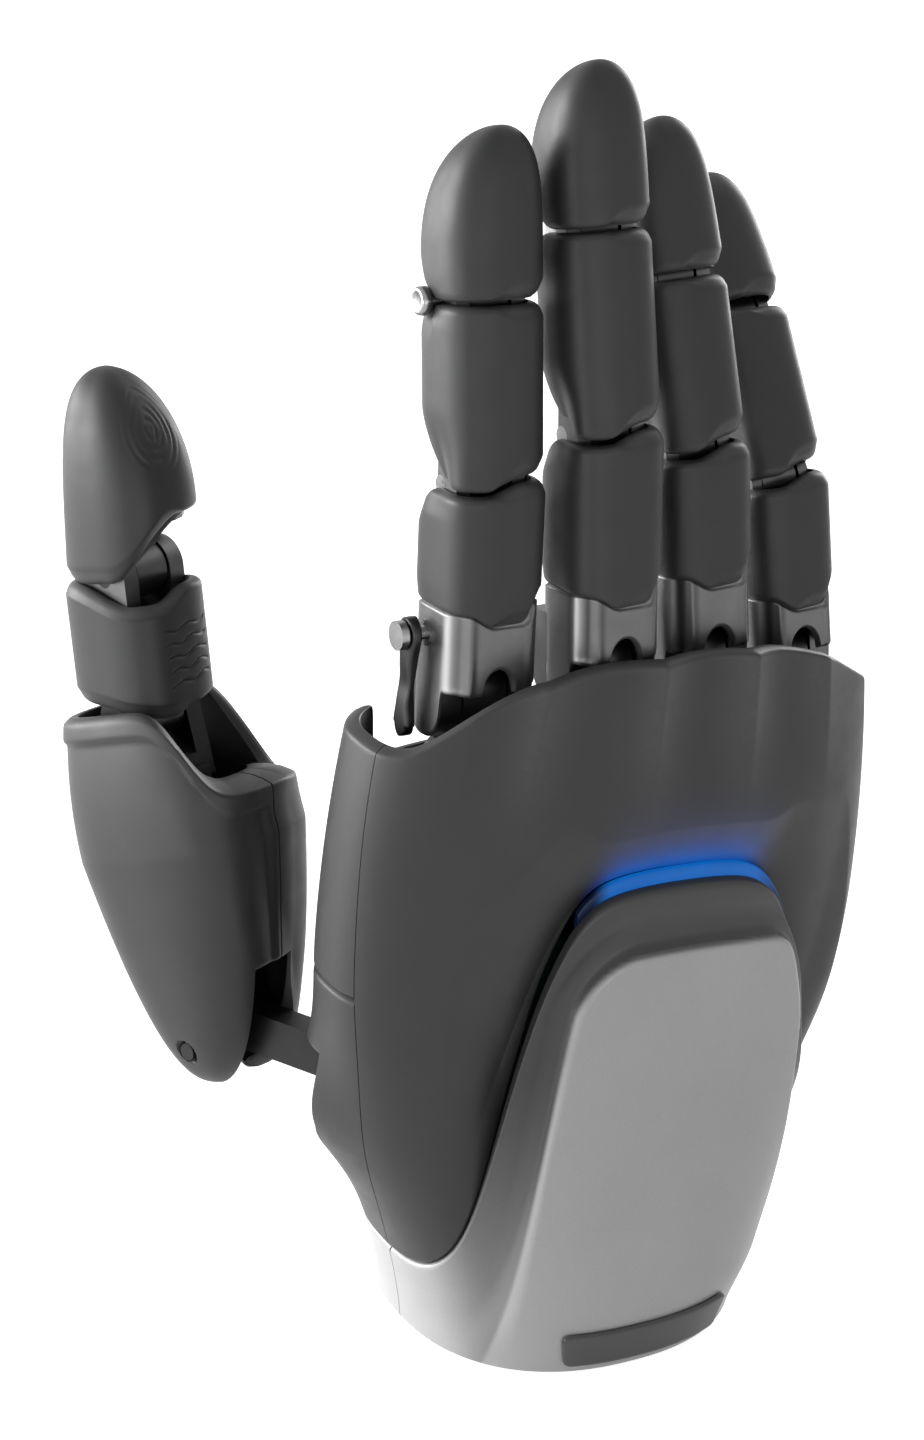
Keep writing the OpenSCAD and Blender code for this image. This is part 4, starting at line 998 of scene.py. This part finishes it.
def make_fingers():
    """Base, middle and tip of each finger, along the lines between its joints."""
    for finger in FINGERS:
        base = link_frame(finger + "_bend", finger + "_mid_bend", -1.0)
        middle = link_frame(finger + "_mid_bend", finger + "_end_bend", -1.0)
        end = bent_on(middle[1], position(finger + "_end_bend"), TIP_BEND[finger])
        middle_length = np.linalg.norm(end[0] - middle[0])
        base_cover(finger, np.linalg.norm(middle[0] - base[0]), base)
        base_hood(finger, base)
        middle_cover(finger, middle_length, middle)
        tip_cover(finger, end)
        if finger == "index":
            index_pin(middle, middle_length)
            index_rod(base)


# ---- thumb
POD_FOOT, POD_L, POD_HALF, POD_BACK, POD_FRONT, POD_WALL = -10.5, 50.0, 15.0, 15.5, 22.5, 1.8
POD_SEAM, POD_SQUARE, POD_WIDEST = 97.0, 2.7, 0.65
THUMB_W, THUMB_D, THUMB_SHIFT, THUMB_SQUARE, THUMB_TIP_L, TIP_SLIM = 18.0, 20.0, 0.5, 3.0, 31.9, 0.35
# The opening for the bracket in the pod's foot: half width, back limit and highest point.
FORK_HALF, FORK_BACK, FORK_TOP = 4.9, -8.0, 9.0


def pod_top(turn):
    """The pod's rim: high at the back, an S down to a long scoop, and a steep climb at the far end."""
    wrapped = np.where(turn > 263.0, turn - 360.0, turn)
    down = 1.0 / (1.0 + np.exp(-(wrapped - 48.0) / 5.0))
    return POD_L + 1.6 - 15.0 * down * (1.0 - ease((wrapped - 150.0) / 26.0))


def pod_share(s, power):
    """A power of the height up to the widest place at 0.65, a small quadratic taper above it."""
    taper = above(s - POD_WIDEST) / (1.0 - POD_WIDEST)
    return np.minimum(1.0, s / POD_WIDEST) ** power - 0.16 * taper ** 2


def pod_point(turn, z, off, wall):
    """Superellipse, exponent 2.7, whose radii grow as a power of the height; wall closes the foot."""
    s = np.maximum(1e-5, (z - POD_FOOT) / (POD_L - POD_FOOT))
    radii = (POD_HALF * pod_share(s, 0.25), POD_BACK * pod_share(s, 0.33), POD_FRONT * pod_share(s, 0.45))
    x, y = oval(turn, *(np.maximum(0.3, r - off) for r in radii), POD_SQUARE)
    return x, y, z + wall * (1.0 - ease(s * 4.0))


SCREW_Z, SCREW_WELL, STEP_DEPTH, COLLAR_DEPTH = -3.4, 1.75, 1.6, 0.6


def pod_carving(turn, z, top):
    """Inward: below the collar under the rim, and the step along the palm's side of the big shell."""
    along = np.clip((34.0 - z) / 30.0, -0.2, 1.2)
    past = turn - (64.0 + 16.0 * along + 26.0 * along ** 2)
    drop = ease((past + 28.0) / 46.0) * (1.0 - ease((turn - 112.0) / 34.0))
    side = STEP_DEPTH * drop * ease((38.0 - z) / 7.0) * ease((z + 4.0) / 9.0)
    return side + COLLAR_DEPTH * ease(top - z - 3.0) * ease((95.0 - turn) / 10.0)


def pod_half(name, start, end, shift, node):
    """Half of the pod between two turns, cut round the fork, with a well for its screw and a lip."""
    turn = np.linspace(start, end, 200)[None, :]
    top = pod_top(turn)
    tall = shares(400) * (FORK_TOP - POD_FOOT) + POD_FOOT
    x, y, z = pod_point(turn, tall, 0.0, 0.0)
    back = FORK_BACK + 5.0 * clamp((-4.0 - z) / 8.0)
    foot = np.max(np.where((np.abs(x + shift) < FORK_HALF) & (y > back), tall, POD_FOOT), axis=0)[None, :]
    share = shares(120)
    share = share ** 1.5 * (1.0 - share) + share * share
    z = foot + (top - foot) * share
    near = top - z
    fall = pod_carving(turn, z, top) + rolled(near, 1.0) * 0.7
    x, y, oz = pod_point(turn, z, fall, 0.0)
    well = 1.5 * (1.0 - ease((np.hypot(y, oz - SCREW_Z) - SCREW_WELL + 0.2) / 0.4)) * (x > 0.0)
    outer = stack(x - well + shift, y, oz)
    lip = 4.6 * ease(1.0 - near / 7.0) * ease((turn - 44.0) / 20.0) * ease((158.0 - turn) / 24.0)
    x, y, iz = pod_point(turn, z, POD_WALL + 0.4 + lip, POD_WALL)
    inner = stack(x + shift, y, iz + 0.35 * lip)
    link = link_frame("thumb_swing", "thumb_base_bend", 1.0)
    mesh = shell_mesh(name, placed(outer, link), placed(inner, link), 0.45)
    dress(mesh, "thumb_pod", "dark_plastic", "shell", node)


GROOVES, GROOVE_STEP, GRIP_TURN = 5, 2.15, 76.0


def grip_lines(turn, z, from_foot, from_top):
    """Five thin wavy grooves across the pad's corner of the thumb's middle cover."""
    past = turn - GRIP_TURN
    groove = 0.0 * z + 0.0 * turn
    for k in range(GROOVES):
        middle = 5.6 + GROOVE_STEP * k + 0.02 * past + 0.34 * np.sin(past / 5.0 + 0.8 * k)
        groove = groove + bell((z - middle) / 0.17)
    window = ease((turn - 66.0) / 4.0) * ease((126.0 - turn) / 5.0)
    return 0.34 * clamp(groove) * window


RING_STEP, RINGS_WIDE = 1.1, 5.0


def pad_rings(turn, z, from_foot, from_top):
    """Fine concentric ridges on the thumb's pad, broken where they pass the centre line."""
    across = (turn - 84.0) * 0.15
    along = (z - 23.5) * 0.78
    r = np.hypot(across, along)
    off_ring = (r + RING_STEP / 2.0) % RING_STEP - RING_STEP / 2.0
    ripple = clamp(1.6 * bell(off_ring / 0.2) - 0.2)
    broken = 0.55 + 0.45 * np.cos(3.0 * np.arctan2(along, across) + 1.7 * r)
    return 0.17 * ripple * (1.0 - ease((r - RINGS_WIDE) / 0.8)) * clamp(broken * 1.5)


def thumb_across(x, y):
    """About -1 at the thumb's back corner to about 1 at its pad corner."""
    return (0.78 * y - 0.63 * x) / (THUMB_D / 2.0)


def thumb_base(length, link):
    """The thumb's middle cover: its foot dips at the pad, its top slants down across the thumb."""
    half, depth, turn = THUMB_W / 2.0, THUMB_D / 2.0, finger_turns(340)
    past = np.where(turn > 250.0, turn - 360.0, turn) - 74.0
    low = 2.6 - 2.2 * bell(past / np.where(past < 0.0, 60.0, 30.0))
    along = thumb_across(*oval(turn, half, depth, depth, THUMB_SQUARE))
    slant = 3.3 * ease((along + 1.1) / 1.2) * (1.0 - 0.65 * ease((along - 0.5) / 0.5))
    size = (half, depth, THUMB_SHIFT, COVER_WALL, THUMB_SQUARE)
    grids = tube_cover(size, low, length - 0.9 - slant, turn, 0.25, grip_lines)
    add_cover("thumb_prox", link, ring_mesh, *grids)


def thumb_tip(link):
    """The thumb's domed tip: its foot rises towards the pad, and its back is 0.7 slimmer."""
    def foot(x, y):
        along = thumb_across(x, y)
        return -1.4, 1.2 * ease((along + 1.0) / 0.7) + 10.6 * ease((along + 0.35) / 1.35)

    size = (THUMB_W / 2.0, THUMB_D / 2.0 - TIP_SLIM, THUMB_SHIFT - TIP_SLIM)
    grids = tip_walls(pad_rings, 240, size, THUMB_TIP_L, 4.2, 0.0, (3.8, 9.0, 2.5), foot)
    add_cover("thumb_tip", link, dome_mesh, *grids)


def make_thumb():
    pod_half("thumb_outer_skin", -POD_SEAM, POD_SEAM, GAP / 2.0, "thumb_outer_shell")
    pod_half("thumb_inner_skin", POD_SEAM, 360.0 - POD_SEAM, -GAP / 2.0, "thumb_inner_shell")
    base = link_frame("thumb_base_bend", "thumb_end_bend", 1.0)
    end = bent_on(base[1], position("thumb_end_bend"), TIP_BEND["thumb"])
    thumb_base(np.linalg.norm(end[0] - base[0]), base)
    thumb_tip(end)


# ---- carried-over CAD nodes
SLOT_FINISH = {"dark_plastic": "cover", "silver_plastic": "silver", "frame_metal": "frame",
               "pin_steel": "steel", "light_strip": "light", "plate_grey": "plate",
               "board_green": "board", "motor_grey": "motor"}
DARK_NODES = ("thumb_bracket", "thumb_fasteners", "thumb_frame", "thumb_end_pin")


def finish_nodes():
    """Each CAD node takes the finish of its material slot; the thumb's metal parts are dark."""
    slots = {part["node"]: part["material_slot"] for part in frame["record"]["subparts"]}
    for name, node in frame["nodes"].items():
        finish = FINISH["dark_alloy" if name in DARK_NODES else SLOT_FINISH[slots[name]]]
        if not node.material_slots:
            node.data.materials.append(finish)
        for held in node.material_slots:
            held.material = finish


# ---- stage
FLOOR_HALF, FLOOR_GLOW, AIR_LIGHT = 4, 0.85, 0.16


def seen_rays(tree, *kinds):
    """1 for rays of these kinds, else 0."""
    path = tree.nodes.new("ShaderNodeLightPath")
    seen = path.outputs[kinds[0]]
    for kind in kinds[1:]:
        seen = combine(tree, "MAXIMUM", seen, path.outputs[kind])
    return seen


def backdrop_finish():
    """Pale floor that shows white to the camera and in reflections, and keeps the hand's shadow."""
    material, tree, shader = new_nodes("pale_floor")
    seen = seen_rays(tree, "Is Camera Ray", "Is Glossy Ray")
    settle(shader, {"Base Color": (0.8, 0.8, 0.8, 1.0), "Roughness": 0.9, "Specular IOR Level": 0.0,
                    "Emission Color": WHITE,
                    "Emission Strength": combine(tree, "MULTIPLY", seen, FLOOR_GLOW)})
    return material


def make_stage():
    mesh = bpy.data.meshes.new("studio_floor")
    corners = [(x * FLOOR_HALF, y * FLOOR_HALF, 0) for x, y in ((-1, -1), (1, -1), (1, 1), (-1, 1))]
    mesh.from_pydata(corners, [], [(0, 1, 2, 3)])
    floor = new_object("studio_floor", mesh)
    mesh.materials.append(backdrop_finish())


def make_world():
    """Dim air that shows white to the camera, in reflections and through clear things."""
    world = bpy.data.worlds.new("studio_air")
    bpy.context.scene.world = world
    world.use_nodes = True
    tree = world.node_tree
    plain = tree.nodes["Background"]
    settle(plain, {"Color": WHITE, "Strength": AIR_LIGHT})
    white = tree.nodes.new("ShaderNodeBackground")
    settle(white, {"Color": WHITE, "Strength": 1.0})
    mix = tree.nodes.new("ShaderNodeMixShader")
    seen = seen_rays(tree, "Is Camera Ray", "Is Glossy Ray", "Is Transmission Ray")
    settle(mix, {0: seen, 1: plain.outputs[0], 2: white.outputs[0]})
    settle(tree.nodes["World Output"], {"Surface": mix.outputs[0]})


LIT_POINT = (-0.02, 0.0, 0.09)
# Name, place, width and height, and power of each lamp; all of them face the lit point.
LAMPS = (("left_softbox", (-0.9, 0.72, 0.08), (1.1, 0.9), 46.0),
         ("low_left_softbox", (-1.1, -0.25, 0.0), (0.6, 0.4), 5.5),
         ("front_softbox", (-0.2, -1.3, 0.28), (1.5, 0.5), 4.6),
         ("right_strip", (0.9, 0.5, 0.3), (0.3, 1.0), 8.0))


def make_lights():
    for name, place, size, power in LAMPS:
        lamp = bpy.data.lights.new(name, "AREA")
        lamp.shape = "RECTANGLE"
        lamp.size, lamp.size_y = size
        lamp.energy = power
        holder = new_object(name, lamp)
        facing = (Vector(place) - Vector(LIT_POINT)).to_track_quat("Z", "Y")
        holder.matrix_world = Matrix.Translation(place) @ facing.to_matrix().to_4x4()


# ---- camera
AZIMUTH, ELEVATION, ROLL, DISTANCE, LENS = -31.0, 23.0, 5.0, 0.494, 83.0
SENSOR, CLIP_START, AIM = 36.0, 0.01, (-0.0263, 0.0, 0.1045)


def make_camera():
    """Turned to the azimuth, tipped to the elevation, rolled about its own axis, then moved back."""
    place = Matrix.Translation(AIM)
    for angle, axis in ((AZIMUTH, "Z"), (90.0 - ELEVATION, "X"), (ROLL, "Z")):
        place = place @ Matrix.Rotation(math.radians(angle), 4, axis)
    data = bpy.data.cameras.new("camera")
    data.lens, data.sensor_width, data.clip_start = LENS, SENSOR, CLIP_START
    camera = new_object("camera", data)
    camera.matrix_world = place @ Matrix.Translation((0.0, 0.0, DISTANCE))
    bpy.context.scene.camera = camera


make_camera()
make_palm()
make_fingers()
make_thumb()
finish_nodes()
make_stage()
make_world()
make_lights()
bpy.context.scene.view_settings.view_transform = "Standard"
